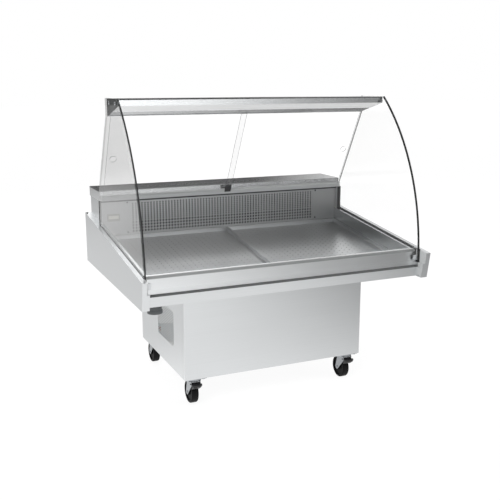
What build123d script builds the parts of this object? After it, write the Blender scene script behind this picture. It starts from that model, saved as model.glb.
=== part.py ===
from build123d import *
from math import atan2, cos, hypot, radians, sin, sqrt, tan
import os

# Refrigerated fish display case on castors, in millimetres.
# X runs to the right, -Y towards the customer and +Z up, from the floor under the middle of the case.

# Overall sizes and common materials
case_width = 1300.0
case_depth = 960.0
sheet = 1.5
running_fit = 0.05
hole_play = 0.2
seat_gap = 0.2

# Castors
castor_inset_x = 53.0
castor_inset_y = 38.0
castor_trail = 32.0
wheel_radius = 50.0
wheel_width = 32.0
wheel_clearance = 10.5
tread_round = 5.0
wheel_recess = 5.0
hub_radius = 15.0
hub_end_play = 0.3
axle_radius = 5.0
axle_boss = 12.0
fork_crown = 4.0
fork_crown_radius = 30.0
fork_skirt = 14.5
fork_leg = 3.0
fork_leg_width = 52.0
fork_leg_gap = 2.0
kingpin_radius = 6.0
swivel_gap = 0.5
swivel_race = 10.0
race_radius = 28.0
castor_plate = 3.0
castor_plate_width = 92.0
castor_plate_depth = 70.0
bolt_radius = 4.0
bolt_pitch_x = 70.0
bolt_pitch_y = 46.0
bolt_hex_radius = 7.5
bolt_head = 5.3

# Brake pedals on the front castors, measured from the pedal's pivot
pedal_pin_radius = 3.0
pedal_pin_forward = 16.0
pedal_pin_drop = 9.5
pedal_heel = 8.0
pedal_rise = 7.0
pedal_lift = 3.0
pedal_shoulder = 15.0
pedal_reach = 35.0
pedal_fall = 1.0
pedal_toe = 4.0
pedal_toe_width = 46.0
pedal_round = 14.0
pedal_side_play = 1.0
pedal_shoe = 13.0

# Lower cabinet
cabinet_width = 848.0
cabinet_depth = 623.0
cabinet_height = 380.0
cabinet_rear_setback = 139.0
cabinet_corner = 2.0
front_return = 22.0
panel_seam = 0.8
pan_floor = 2.0
pan_lip = 25.0
frame_leg = 25.0
frame_wall = 3.0
grille_setback = 138.0
grille_rise = 106.0
grille_length = 224.0
grille_height = 156.0
grille_slot = 5.0
grille_pitch = 10.0
grille_angle = 30.0
vent_length = 150.0
vent_slot = 8.0
vent_pitch = 40.0
vent_count = 9
gland_inset = 124.0
gland_rise = 60.0
gland_thread_radius = 8.0
gland_bore_radius = 4.0
gland_round = 2.0
gland_nut_radius = 13.0
gland_nut = 6.0
gland_dome = 18.0

# Cooling unit in the cabinet
compressor_x = 150.0
compressor_y = 60.0
compressor_radius = 78.0
compressor_height = 150.0
compressor_round = 34.0
foot_height = 12.0
foot_radius = 11.0
foot_inset = 16.5
foot_plate = 3.0
foot_plate_width = 190.0
foot_plate_depth = 150.0
pipe_stub_radius = 8.0
pipe_stub = 18.0
condenser_gap = 21.0
condenser_thickness = 60.0
condenser_length = 300.0
condenser_height = 280.0
condenser_legs = 20.0
fin_gap = 5.0
fin_pitch = 10.0
fin_depth = 20.0
shroud_depth = 30.0
fan_tip_gap = 7.0
condenser_fan_radius = 98.0
condenser_hub_radius = 24.0
condenser_fan_width = 26.0
fan_blades = 5
fan_blade = 2.0
fan_blade_angle = 32.0
condenser_motor_radius = 38.0
condenser_motor_round = 4.75
condenser_motor_length = 60.0
motor_shaft_radius = 4.0
fan_motor_gap = 8.0
pedestal_width = 40.0
pipe_radius = 5.0
pipe_bend = 15.0
pipe_play = 3.0
drier_radius = 12.0
drier_length = 110.0
liquid_pipe_inset = 41.0
suction_pipe_inset = 76.0
pipe_wall_gap = 34.0

# Tub between the side panels
rim_drop = 4.5
band_setback = 61.0
band_lean = 10.0
band_height = 43.0
bumper_height = 6.5
bumper_round = 2.2
bumper_proud = 4.0
fascia_setback = 64.4
fascia_lean = 9.6
well_setback = 94.0
well_wall = 15.0
well_depth = 90.0
tray_gap = 2.0
tray_end_gap = 3.0
tray_lift = 12.0
tray_lip = 20.0
tray_sheet = 1.2
runner_width = 20.0
runner_inset = 60.0
drain_inset_x = 40.0
drain_inset_y = 41.0
drain_neck_radius = 19.0
drain_bore_radius = 16.0
drain_socket_radius = 28.0
drain_socket_bore = 25.2
drain_socket_length = 46.0
drain_socket_top = 6.0
drain_collar_radius = 31.0
drain_collar = 14.0
drain_collar_round = 2.5

# Side panels with the gaskets and the front glass hinges
panel_thickness = 30.0
panel_front_height = 113.0
panel_lean = 19.5
deck_slope = 7.27
service_overhang = 4.0
gasket_wall = 1.5
gasket_floor = 4.0
gasket_back = 3.0
gasket_grip = 8.0
rabbet_depth = 22.0
notch_depth = 50.0
notch_length = 97.0
corner_cutout = 40.0
hinge_plate = 2.5
hinge_plate_length = 49.0
hinge_block_length = 29.0
hinge_pin_radius = 2.0
hinge_pin_length = 22.0

# Riser behind the tub
riser_depth = 202.0
riser_height = 359.0
riser_step = 32.0
slab_height = 43.5
slab_overlap = 4.0
slab_round = 3.0
slab_flange = 15.0
air_panel_recess = 10.0
riser_rail = 25.0
evaporator_end_room = 178.5
evaporator_depth = 60.0
evaporator_height = 156.0
liquid_pipe_rise = 39.0
suction_pipe_rise = 78.0
evaporator_rear_gap = 20.0
evaporator_fan_x = 230.0
evaporator_fan_rise = 80.0
evaporator_fan_radius = 65.0
evaporator_hub_radius = 18.0
evaporator_fan_width = 20.0
evaporator_motor_radius = 34.0
evaporator_motor_length = 30.0
motor_bracket = 2.0
motor_bracket_width = 180.0
motor_bracket_height = 150.0
control_inset = 240.0
control_drop = 34.0
control_width = 160.0
control_height = 40.0
control_plate_sheet = 2.0
thermostat_offset = -30.0
thermostat_width = 76.0
thermostat_height = 34.0
thermostat_bezel = 1.5
thermostat_body_inset = 2.5
thermostat_body_depth = 12.0
switch_offset = 54.0
switch_width = 19.0
switch_height = 24.0
switch_tilt = 8.0
switch_depth = 8.0
switch_pivot_depth = 4.0
switch_side_play = 0.5
switch_end_play = 1.0
switch_cheek = 3.0
switch_cheek_depth = 14.0
switch_pin_radius = 1.5

# Canopy and glass
glass_house_height = 417.0
canopy_reach = 199.0
canopy_depth = 183.0
canopy_front_height = 26.0
canopy_rear_height = 73.5
canopy_end = 3.0
diffuser = 3.0
diffuser_depth = 99.5
diffuser_track_gap = 3.0
led_board = 1.6
led_board_depth = 90.0
led_board_inset = 40.0
side_glass = 8.0
side_glass_proud = 2.0
side_glass_gap = 1.5
side_glass_lap = 12.0
side_glass_end_gap = 3.0
side_glass_ledge = 1.0
front_glass = 6.0
front_glass_setback = 49.5
front_glass_rise = 73.0
front_glass_straight = 14.0
front_glass_proud = 4.0
front_glass_top_gap = 7.5
front_glass_side_gap = 6.3
pivot_inset = 10.8
pivot_rise = 3.0
pivot_boss_radius = 4.5
pivot_shoe_length = 27.0
pivot_end_play = 1.5
pivot_pad = 4.0
pivot_pad_height = 23.0
door_glass = 5.0
door_setback = 10.0
door_drop = 33.0
door_canopy_setback = 13.0
door_spacing = 8.0
door_overlap = 24.0
door_side_gap = 6.5
door_bite = 9.0
door_lift_play = 5.4
door_groove_play = 0.4
track_rib = 2.2
track_base = 4.0
track_web = 3.0
track_block_depth = 37.5
track_block_height = 25.5
finger_radius = 15.0
finger_inset = 29.0
finger_height = 215.0
guide_width = 31.0
guide_foot = 3.0
guide_top = 37.0
guide_thickness = 3.0
guide_offset = -6.5
guide_round = 5.0

# Screws
screw_radius = 2.0
screw_head_radius = 4.0
screw_head = 2.0
screw_length = 4.0
air_screw_end = 124.5
air_screw_low = 11.0
air_screw_high = 16.5
glass_bolt_radius = 3.5
glass_bolt_head_radius = 7.0
glass_bolt_head = 2.5
glass_bolt_nut = 5.0
glass_bolt_drop = 17.0
glass_bolt_front = 19.0
glass_bolt_pitch = 100.0
panel_screw_setback = 36.3
panel_screw_slant = 2.9
panel_screw_rise = 5.3
panel_screw_pitch = 38.5

# Main planes of the case
half_width = case_width / 2
front_y = -case_depth / 2
rear_y = case_depth / 2
castor_height = (2 * wheel_radius + wheel_clearance + fork_crown + swivel_gap + swivel_race + castor_plate)
crown_top = castor_height - castor_plate - swivel_race - swivel_gap
cabinet_half = cabinet_width / 2
cabinet_rear = rear_y - cabinet_rear_setback
cabinet_front = cabinet_rear - cabinet_depth
cabinet_floor = castor_height + pan_floor
deck_z = castor_height + cabinet_height
panel_inner = half_width - panel_thickness
panel_rear = rear_y - service_overhang
riser_front = rear_y - riser_depth
service_z = deck_z + riser_height
slab_bottom = service_z - slab_height
canopy_top = service_z + glass_house_height
canopy_rear = riser_front - canopy_reach
canopy_front = canopy_rear - canopy_depth
canopy_half = panel_inner + gasket_wall - canopy_end
canopy_slope = (canopy_rear_height - canopy_front_height) / canopy_depth


def panel_top(y):
    """Height of the side panels' sloping top edge."""
    return deck_z + panel_front_height + (y - front_y) * tan(radians(deck_slope))


def rim(y):
    """Height of the tub's rim, a little under the panels' top edges."""
    return panel_top(y) - rim_drop


def well_floor(y):
    """Height of the tub's sloping floor."""
    return rim(y) - well_depth


def canopy_underside(y):
    """Height of the canopy's sloping underside."""
    return canopy_top - canopy_front_height - (y - canopy_front) * canopy_slope


# Tub and riser limits
well_front = front_y + well_setback
well_rear = riser_front + air_panel_recess
well_half = panel_inner - well_wall
riser_floor = well_floor(well_rear) + riser_step
riser_half = panel_inner - sheet
band_top = deck_z + band_height
fascia_bottom = band_top + bumper_height
fascia_front = front_y + fascia_setback
fascia_top_y = fascia_front + fascia_lean
flange_front = fascia_top_y + sheet
rabbet_outer = panel_inner + side_glass + 2 * gasket_wall
notch_floor = deck_z + panel_front_height - notch_depth
notch_rear = front_y + notch_length

# Curve of the front glass: an arc that leaves the pivots upright and leans back to the canopy
front_glass_y = front_y + front_glass_setback
front_glass_bottom = deck_z + front_glass_rise
front_glass_half = rabbet_outer - front_glass_side_gap
arc_start_z = front_glass_bottom + front_glass_straight
arc_rise = canopy_top + front_glass_proud - arc_start_z
arc_reach = canopy_front - front_glass_top_gap - front_glass_y
arc_radius = (arc_reach ** 2 + arc_rise ** 2) / (2 * arc_reach)
arc_centre = (front_glass_y + arc_radius, arc_start_z)
pivot_y = front_glass_y + pivot_inset
pivot_z = front_glass_bottom + pivot_rise

# Plane of the rear doors, leaning from the service top to the canopy: u runs up it and n out of its rear face
door_foot = (riser_front - door_setback, service_z - door_drop)
door_head = (canopy_rear - door_canopy_setback, canopy_top - canopy_rear_height)
door_lean = atan2(door_foot[0] - door_head[0], door_head[1] - door_foot[1])
door_mouth = ((canopy_underside(door_foot[0]) - door_foot[1])
              / (cos(door_lean) - sin(door_lean) * canopy_slope))
door_top = door_mouth + door_bite
track_half = (door_spacing + door_glass) / 2 + door_groove_play + track_rib


def on_door(u, n):
    """The (y, z) point at u along the doors' plane and n behind it."""
    return (door_foot[0] - u * sin(door_lean) + n * cos(door_lean),
            door_foot[1] + u * cos(door_lean) + n * sin(door_lean))


def around(middle, half):
    """Limits at the same distance on both sides of a middle."""
    return (middle - half, middle + half)


def block(x, y, z, mode=Mode.ADD):
    """A box between two limits on each axis."""
    middle = ((x[0] + x[1]) / 2, (y[0] + y[1]) / 2, (z[0] + z[1]) / 2)
    with Locations(middle):
        Box(abs(x[1] - x[0]), abs(y[1] - y[0]), abs(z[1] - z[0]), mode=mode)


def prism(points, x, mode=Mode.ADD):
    """A (y, z) outline carried along X."""
    with BuildSketch(Plane.YZ.offset(x[0])) as outline:
        with BuildLine():
            Polyline(*points, close=True)
        make_face()
    extrude(outline.sketch, amount=x[1] - x[0], mode=mode)


def folded(points, x):
    """A sheet folded along a (y, z) line and carried along X."""
    with BuildSketch(Plane.YZ.offset(x[0])) as section:
        with BuildLine():
            fold = Polyline(*points)
            offset(fold, amount=sheet, side=Side.RIGHT, kind=Kind.INTERSECTION)
        make_face()
    extrude(section.sketch, amount=x[1] - x[0])


def rod(start, axis, radius, length, mode=Mode.ADD):
    """A round bar from a start point along an axis."""
    with BuildSketch(Plane(origin=start, z_dir=axis)) as circle:
        Circle(radius)
    extrude(circle.sketch, amount=length, mode=mode)


def hexagon(start, axis, radius, length):
    """A bolt head or nut, by the radius over its corners."""
    with BuildSketch(Plane(origin=start, z_dir=axis)) as section:
        RegularPolygon(radius, 6)
    extrude(section.sketch, amount=length)


def pipe(points):
    """A copper pipe with filleted bends through the points."""
    with BuildLine() as route:
        FilletPolyline(*points, radius=pipe_bend)
    with BuildSketch(Plane(origin=points[0], z_dir=route.line % 0)) as section:
        Circle(pipe_radius)
    sweep(section.sketch, path=route.wires()[0])


def rotor(plane, radius, hub, width, blades):
    """A fan with pitched blades round a bored hub, centred on the plane and turning about its normal."""
    chord = (width - fan_blade) / sin(radians(fan_blade_angle))
    with Locations(plane.location):
        Cylinder(hub, width)
        with PolarLocations((radius + hub / 2) / 2, blades):
            Box(radius - hub / 2, chord, fan_blade, rotation=(fan_blade_angle, 0, 0))
        Cylinder(radius, width, mode=Mode.INTERSECT)
        Cylinder(motor_shaft_radius + running_fit, width, mode=Mode.SUBTRACT)


def write_piece(piece, label):
    """Label a finished piece and write it to its own file."""
    piece.part.label = label
    export_step(piece.part, f"parts/{label}.step")


os.makedirs("parts", exist_ok=True)

# Cabinet base pan: a shallow tray with holes for the castor bolts
castor_x = cabinet_half - castor_inset_x
castor_front = cabinet_front + castor_inset_y
castor_rear = cabinet_rear - castor_inset_y
castor_places = {
    "front_left": (-castor_x, castor_front),
    "front_right": (castor_x, castor_front),
    "rear_left": (-castor_x, castor_rear),
    "rear_right": (castor_x, castor_rear),
}
bolt_places = [(x + i * bolt_pitch_x / 2, y + j * bolt_pitch_y / 2)
               for x, y in castor_places.values() for i in (-1, 1) for j in (-1, 1)]
pan_half = cabinet_half - sheet
pan_front = cabinet_front + sheet
pan_rear = cabinet_rear - sheet
with BuildPart() as cabinet_base_pan:
    block(around(0, pan_half), (pan_front, pan_rear), (castor_height, castor_height + pan_lip))
    block(around(0, pan_half - sheet), (pan_front + sheet, pan_rear - sheet),
          (cabinet_floor, castor_height + pan_lip), mode=Mode.SUBTRACT)
    with BuildSketch(Plane.XY.offset(castor_height)):
        with Locations(*bolt_places):
            Circle(bolt_radius + hole_play)
    extrude(amount=pan_floor, mode=Mode.SUBTRACT)
write_piece(cabinet_base_pan, "cabinet_base_pan")

# Cabinet frame: angle posts in the pan's corners and an angle ring under the tub
frame_half = pan_half - sheet
frame_front = pan_front + sheet
frame_rear = pan_rear - sheet
with BuildPart() as cabinet_frame:
    block(around(0, frame_half), (frame_front, frame_rear), (deck_z - frame_leg, deck_z))
    block(around(0, frame_half - frame_wall), (frame_front + frame_wall, frame_rear - frame_wall),
          (deck_z - frame_leg, deck_z - frame_wall), mode=Mode.SUBTRACT)
    block(around(0, frame_half - frame_leg), (frame_front + frame_leg, frame_rear - frame_leg),
          (deck_z - frame_leg, deck_z), mode=Mode.SUBTRACT)
    for side in (-1, 1):
        for corner, inward in ((frame_front, 1), (frame_rear, -1)):
            block((side * (frame_half - frame_leg), side * frame_half),
                  (corner, corner + inward * frame_wall), (cabinet_floor, deck_z))
            block((side * (frame_half - frame_wall), side * frame_half),
                  (corner, corner + inward * frame_leg), (cabinet_floor, deck_z))
write_piece(cabinet_frame, "cabinet_frame")

# Cabinet front panel: a tray with rounded corners whose returns wrap the sides
with BuildPart() as cabinet_front_panel:
    block(around(0, cabinet_half), (cabinet_front, cabinet_front + front_return), (castor_height, deck_z))
    fillet(cabinet_front_panel.edges().filter_by(Axis.Z).group_by(Axis.Y)[0], cabinet_corner)
    block(around(0, cabinet_half - sheet), (cabinet_front + sheet, cabinet_front + front_return),
          (castor_height, deck_z), mode=Mode.SUBTRACT)
write_piece(cabinet_front_panel, "cabinet_front_panel")

# Cabinet side panels with a field of slanted air slots
grille_y = cabinet_front + grille_setback + grille_length / 2
grille_z = castor_height + grille_rise + grille_height / 2
slot_slope = radians(grille_angle)
slot_length = hypot(grille_length, grille_height)
slot_reach = (grille_length * sin(slot_slope) + grille_height * cos(slot_slope)) / 2
slot_count = 2 * int((slot_reach - grille_pitch) / grille_pitch) + 1
grille_plane = Plane(origin=(pan_half, grille_y, grille_z), x_dir=(0, cos(slot_slope), -sin(slot_slope)),
                     z_dir=(1, 0, 0))
with BuildPart() as cabinet_right_panel:
    block((pan_half, cabinet_half), (cabinet_front + front_return + panel_seam, cabinet_rear),
          (castor_height, deck_z))
    with BuildSketch(grille_plane):
        with GridLocations(0, grille_pitch, 1, slot_count):
            Rectangle(slot_length, grille_slot)
        Rectangle(grille_length, grille_height, rotation=grille_angle, mode=Mode.INTERSECT)
    extrude(amount=sheet, mode=Mode.SUBTRACT)
write_piece(cabinet_right_panel, "cabinet_right_panel")

with BuildPart() as cabinet_left_panel:
    mirror(cabinet_right_panel.part, about=Plane.YZ)
write_piece(cabinet_left_panel, "cabinet_left_panel")

# Cabinet rear panel with upright vents and the hole for the cable gland
gland_x = cabinet_half - gland_inset
gland_z = castor_height + gland_rise
with BuildPart() as cabinet_rear_panel:
    block(around(0, pan_half), (pan_rear, cabinet_rear), (castor_height, deck_z))
    with BuildSketch(Plane.XZ.offset(-cabinet_rear)):
        with Locations((0, (castor_height + deck_z) / 2)):
            with GridLocations(vent_pitch, 0, vent_count, 1):
                SlotOverall(vent_length, vent_slot, rotation=90)
        with Locations((gland_x, gland_z)):
            Circle(gland_thread_radius + hole_play)
    extrude(amount=sheet, mode=Mode.SUBTRACT)
write_piece(cabinet_rear_panel, "cabinet_rear_panel")

# Mains cable gland: a nut inside, a hexagon and a domed cap outside, bored for the cable
with BuildPart() as mains_gland:
    hexagon((gland_x, pan_rear - gland_nut, gland_z), (0, 1, 0), gland_nut_radius, gland_nut)
    rod((gland_x, pan_rear, gland_z), (0, 1, 0), gland_thread_radius, sheet)
    hexagon((gland_x, cabinet_rear, gland_z), (0, 1, 0), gland_nut_radius, gland_nut)
    rod((gland_x, cabinet_rear + gland_nut, gland_z), (0, 1, 0), gland_thread_radius, gland_dome)
    fillet(mains_gland.edges().filter_by(GeomType.CIRCLE).group_by(Axis.Y)[-1], gland_round)
    rod((gland_x, pan_rear - gland_nut, gland_z), (0, 1, 0), gland_bore_radius,
        2 * gland_nut + sheet + gland_dome, mode=Mode.SUBTRACT)
write_piece(mains_gland, "mains_gland")

# Compressor: a domed pot on a foot plate with four feet, and two pipe stubs
compressor_bottom = cabinet_floor + foot_height + foot_plate
suction_z = compressor_bottom + compressor_height / 2
discharge_z = suction_z + 2 * pipe_stub_radius
with BuildPart() as compressor:
    rod((compressor_x, compressor_y, compressor_bottom), (0, 0, 1), compressor_radius, compressor_height)
    fillet(compressor.edges().filter_by(GeomType.CIRCLE), compressor_round)
    block(around(compressor_x, foot_plate_width / 2),
          around(compressor_y, foot_plate_depth / 2),
          (compressor_bottom - foot_plate, compressor_bottom))
    with BuildSketch(Plane.XY.offset(cabinet_floor)):
        with Locations((compressor_x, compressor_y)):
            with GridLocations(foot_plate_width - 2 * foot_inset, foot_plate_depth - 2 * foot_inset, 2, 2):
                Circle(foot_radius)
    extrude(amount=foot_height)
    for side, z in ((1, suction_z), (-1, discharge_z)):
        rod((compressor_x, compressor_y, z), (side, 0, 0), pipe_stub_radius, compressor_radius + pipe_stub)
write_piece(compressor, "compressor")

# Condenser coil: a finned block on legs behind the left grille
condenser_x = condenser_gap - frame_half
condenser_inner = condenser_x + condenser_thickness
condenser_y = grille_y - condenser_length / 2
condenser_rear = grille_y + condenser_length / 2
condenser_z = cabinet_floor + condenser_legs
condenser_top = condenser_z + condenser_height
fin_count = int((condenser_length - fin_pitch) / fin_pitch)
with BuildPart() as condenser_coil:
    block((condenser_x, condenser_inner), (condenser_y, condenser_rear), (condenser_z, condenser_top))
    with BuildSketch(Plane.XY.offset(condenser_z)):
        with Locations((condenser_x + fin_depth / 2, grille_y)):
            with GridLocations(0, fin_pitch, 1, fin_count):
                Rectangle(fin_depth, fin_gap)
    extrude(amount=condenser_height, mode=Mode.SUBTRACT)
    for leg in (condenser_y, condenser_rear - condenser_legs):
        block((condenser_x + fin_depth, condenser_inner), (leg, leg + condenser_legs),
              (cabinet_floor, condenser_z))
write_piece(condenser_coil, "condenser_coil")

# Fan shroud against the coil, and the fan on its motor
fan_z = condenser_z + condenser_height / 2
shroud_x = condenser_inner + shroud_depth
with BuildPart() as condenser_shroud:
    block((condenser_inner, shroud_x), (condenser_y, condenser_rear), (condenser_z, condenser_top))
    block((condenser_inner, shroud_x - sheet), (condenser_y + sheet, condenser_rear - sheet),
          (condenser_z + sheet, condenser_top - sheet), mode=Mode.SUBTRACT)
    rod((shroud_x - sheet, grille_y, fan_z), (1, 0, 0), condenser_fan_radius + fan_tip_gap, sheet,
        mode=Mode.SUBTRACT)
write_piece(condenser_shroud, "condenser_shroud")

fan_x = shroud_x - sheet / 2
with BuildPart() as condenser_fan:
    rotor(Plane(origin=(fan_x, grille_y, fan_z), z_dir=(1, 0, 0)),
          condenser_fan_radius, condenser_hub_radius, condenser_fan_width, fan_blades)
write_piece(condenser_fan, "condenser_fan")

motor_x = fan_x + condenser_fan_width / 2 + fan_motor_gap
with BuildPart() as condenser_fan_motor:
    rod((motor_x, grille_y, fan_z), (1, 0, 0), condenser_motor_radius, condenser_motor_length)
    fillet(condenser_fan_motor.edges().filter_by(GeomType.CIRCLE), condenser_motor_round)
    rod((motor_x + condenser_motor_length / 2, grille_y, fan_z), (-1, 0, 0), motor_shaft_radius,
        condenser_motor_length / 2 + fan_motor_gap + condenser_fan_width)
    block((motor_x + condenser_motor_length / 2 - pedestal_width / 2,
           motor_x + condenser_motor_length / 2 + pedestal_width / 2),
          around(grille_y, pedestal_width / 2), (cabinet_floor, fan_z))
write_piece(condenser_fan_motor, "condenser_fan_motor")

# Refrigerant pipes: the hot line to the condenser, the liquid line with its drier and the suction line
pipe_y = pan_rear - pipe_wall_gap
liquid_pipe_x = frame_half - liquid_pipe_inset
suction_pipe_x = frame_half - suction_pipe_inset
pipe_x = (condenser_x + fin_depth + condenser_inner) / 2
evaporator_half = riser_half - evaporator_end_room
evaporator_rear = panel_rear - sheet - evaporator_rear_gap
evaporator_front = evaporator_rear - evaporator_depth
evaporator_floor = riser_floor + sheet
pipe_turn = 2 * pipe_bend
liquid_z = evaporator_floor + liquid_pipe_rise
return_z = evaporator_floor + suction_pipe_rise
low_z = condenser_z + pipe_turn
high_z = condenser_top - pipe_turn
hot_x = compressor_x - compressor_radius - pipe_stub
middle_y = (condenser_rear + pipe_y) / 2
coil_y = (evaporator_front + evaporator_rear) / 2
drier_x = (compressor_x + liquid_pipe_x - drier_length) / 2
with BuildPart() as refrigerant_pipes:
    pipe([(hot_x, compressor_y, discharge_z), (hot_x - pipe_turn, compressor_y, discharge_z),
          (hot_x - pipe_turn, middle_y, discharge_z), (pipe_x, middle_y, discharge_z),
          (pipe_x, middle_y, high_z), (pipe_x, condenser_rear, high_z)])
    pipe([(pipe_x, condenser_rear, low_z), (pipe_x, pipe_y, low_z), (liquid_pipe_x, pipe_y, low_z),
          (liquid_pipe_x, pipe_y, liquid_z), (evaporator_half + pipe_turn, pipe_y, liquid_z),
          (evaporator_half + pipe_turn, coil_y, liquid_z), (evaporator_half, coil_y, liquid_z)])
    rod((drier_x, pipe_y, low_z), (1, 0, 0), drier_radius, drier_length)
    pipe([(compressor_x + compressor_radius + pipe_stub, compressor_y, suction_z),
          (suction_pipe_x, compressor_y, suction_z), (suction_pipe_x, pipe_y, suction_z),
          (suction_pipe_x, pipe_y, return_z), (evaporator_half + 2 * pipe_turn, pipe_y, return_z),
          (evaporator_half + 2 * pipe_turn, coil_y, return_z), (evaporator_half, coil_y, return_z)])
write_piece(refrigerant_pipes, "refrigerant_pipes")

# Tub shell: one folded sheet, its front edge standing up as the lower front band
drain_x = drain_inset_x - well_half
drain_y = well_front + drain_inset_y
band_front = front_y + band_setback
tub_holes = {
    (drain_x, drain_y): drain_neck_radius + hole_play,
    (liquid_pipe_x, pipe_y): pipe_radius + pipe_play,
    (suction_pipe_x, pipe_y): pipe_radius + pipe_play,
}
with BuildPart() as tub_shell:
    folded([(panel_rear - sheet, deck_z), (band_front, deck_z), (band_front - band_lean, band_top),
            (fascia_top_y, band_top)], around(0, panel_inner))
    for place, radius in tub_holes.items():
        rod((*place, deck_z), (0, 0, 1), radius, sheet, mode=Mode.SUBTRACT)
write_piece(tub_shell, "tub_shell")

# Rubber bumper strip between the two front bands
bumper_front = band_front - band_lean - bumper_proud
with BuildPart() as bumper_strip:
    block(around(0, panel_inner), (bumper_front, fascia_top_y), (band_top, fascia_bottom))
    fillet(bumper_strip.edges().filter_by(Axis.X).group_by(Axis.Y)[0], bumper_round)
write_piece(bumper_strip, "bumper_strip")

# Upper front fascia: a leaning band from the bumper to the tub's rim
with BuildPart() as upper_fascia:
    folded([(flange_front, fascia_bottom), (fascia_front, fascia_bottom),
            (fascia_top_y, rim(fascia_top_y))], around(0, panel_inner))
write_piece(upper_fascia, "upper_fascia")

# Tub liner: the well with its sloping floor, and flanges out to the fascia and the side panels
liner_outline = [(well_front - sheet, rim(well_front - sheet)),
                 (well_front - sheet, well_floor(well_front - sheet) - sheet),
                 (well_rear + sheet, well_floor(well_rear + sheet) - sheet),
                 (well_rear + sheet, riser_floor),
                 (well_rear, riser_floor),
                 (well_rear, rim(well_rear))]
well_outline = [(well_front, rim(well_front) + rim_drop), (well_front, well_floor(well_front)),
                (well_rear, well_floor(well_rear)), (well_rear, rim(well_rear) + rim_drop)]


def rim_flange(front, rear):
    """A strip of sheet lying along the rim between two depths."""
    return [(front, rim(front)), (rear, rim(rear)), (rear, rim(rear) - sheet), (front, rim(front) - sheet)]


with BuildPart() as tub_liner:
    prism(liner_outline, around(0, well_half + sheet))
    prism(well_outline, around(0, well_half), mode=Mode.SUBTRACT)
    prism(rim_flange(flange_front, well_front - sheet), around(0, panel_inner))
    for side in (-1, 1):
        limits = sorted((side * (well_half + sheet), side * panel_inner))
        prism(rim_flange(well_front - sheet, riser_front), limits)
    rod((drain_x, drain_y, deck_z), (0, 0, 1), drain_bore_radius, rim(drain_y) - deck_z, mode=Mode.SUBTRACT)
write_piece(tub_liner, "tub_liner")

# Foam insulation between the shell and the liner
foam_bottom = deck_z + sheet
foam_rear = panel_rear - sheet
with BuildPart() as tub_insulation:
    prism([(flange_front, foam_bottom), (foam_rear, foam_bottom), (foam_rear, riser_floor),
           (well_rear, riser_floor), (well_rear, rim(well_rear) - sheet),
           (flange_front, rim(flange_front) - sheet)], around(0, riser_half))
    prism(liner_outline, around(0, well_half + sheet), mode=Mode.SUBTRACT)
    prism(well_outline, around(0, well_half), mode=Mode.SUBTRACT)
    for place, radius in tub_holes.items():
        rod((*place, deck_z), (0, 0, 1), radius, riser_floor - deck_z, mode=Mode.SUBTRACT)
write_piece(tub_insulation, "tub_insulation")

# Drain outlet: a neck up to the liner's floor and a socket for a waste pipe below the tub
neck_cut = drain_neck_radius + hole_play
with BuildPart() as drain_outlet:
    rod((drain_x, drain_y, deck_z), (0, 0, -1), drain_socket_radius, drain_socket_length)
    rod((drain_x, drain_y, deck_z - drain_socket_length), (0, 0, 1), drain_collar_radius, drain_collar)
    fillet(drain_outlet.edges().filter_by(GeomType.CIRCLE).group_by(SortBy.RADIUS)[-1], drain_collar_round)
    rod((drain_x, drain_y, deck_z - drain_socket_length), (0, 0, 1), drain_socket_bore,
        drain_socket_length - drain_socket_top, mode=Mode.SUBTRACT)
    rod((drain_x, drain_y, deck_z), (0, 0, 1), drain_neck_radius, rim(drain_y) - deck_z)
    prism([(drain_y - neck_cut, well_floor(drain_y - neck_cut) - sheet),
           (drain_y + neck_cut, well_floor(drain_y + neck_cut) - sheet),
           (drain_y + neck_cut, rim(drain_y)), (drain_y - neck_cut, rim(drain_y))],
          around(drain_x, neck_cut), mode=Mode.SUBTRACT)
    rod((drain_x, drain_y, deck_z - drain_socket_top), (0, 0, 1), drain_bore_radius,
        rim(drain_y) - deck_z + drain_socket_top, mode=Mode.SUBTRACT)
write_piece(drain_outlet, "drain_outlet")

# Trays: two shallow pans on runners, side by side in the well
tray_front = well_front + tray_end_gap
tray_rear = well_rear - tray_end_gap
tray_inner = tray_gap / 2
tray_outer = well_half - tray_gap


def along_floor(inset, bottom, top):
    """An outline along the well's floor between two heights over it."""
    front = tray_front + inset
    rear = tray_rear - inset
    return [(front, well_floor(front) + bottom), (rear, well_floor(rear) + bottom),
            (rear, well_floor(rear) + top), (front, well_floor(front) + top)]


with BuildPart() as right_tray:
    prism(along_floor(0, tray_lift, tray_lift + tray_lip), (tray_inner, tray_outer))
    prism(along_floor(tray_sheet, tray_lift + tray_sheet, tray_lift + 2 * tray_lip),
          (tray_inner + tray_sheet, tray_outer - tray_sheet), mode=Mode.SUBTRACT)
    for runner in (tray_inner + runner_inset, tray_outer - runner_inset - runner_width):
        prism(along_floor(runner_inset, seat_gap, tray_lift), (runner, runner + runner_width))
write_piece(right_tray, "right_tray")

with BuildPart() as left_tray:
    mirror(right_tray.part, about=Plane.YZ)
write_piece(left_tray, "left_tray")

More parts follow.
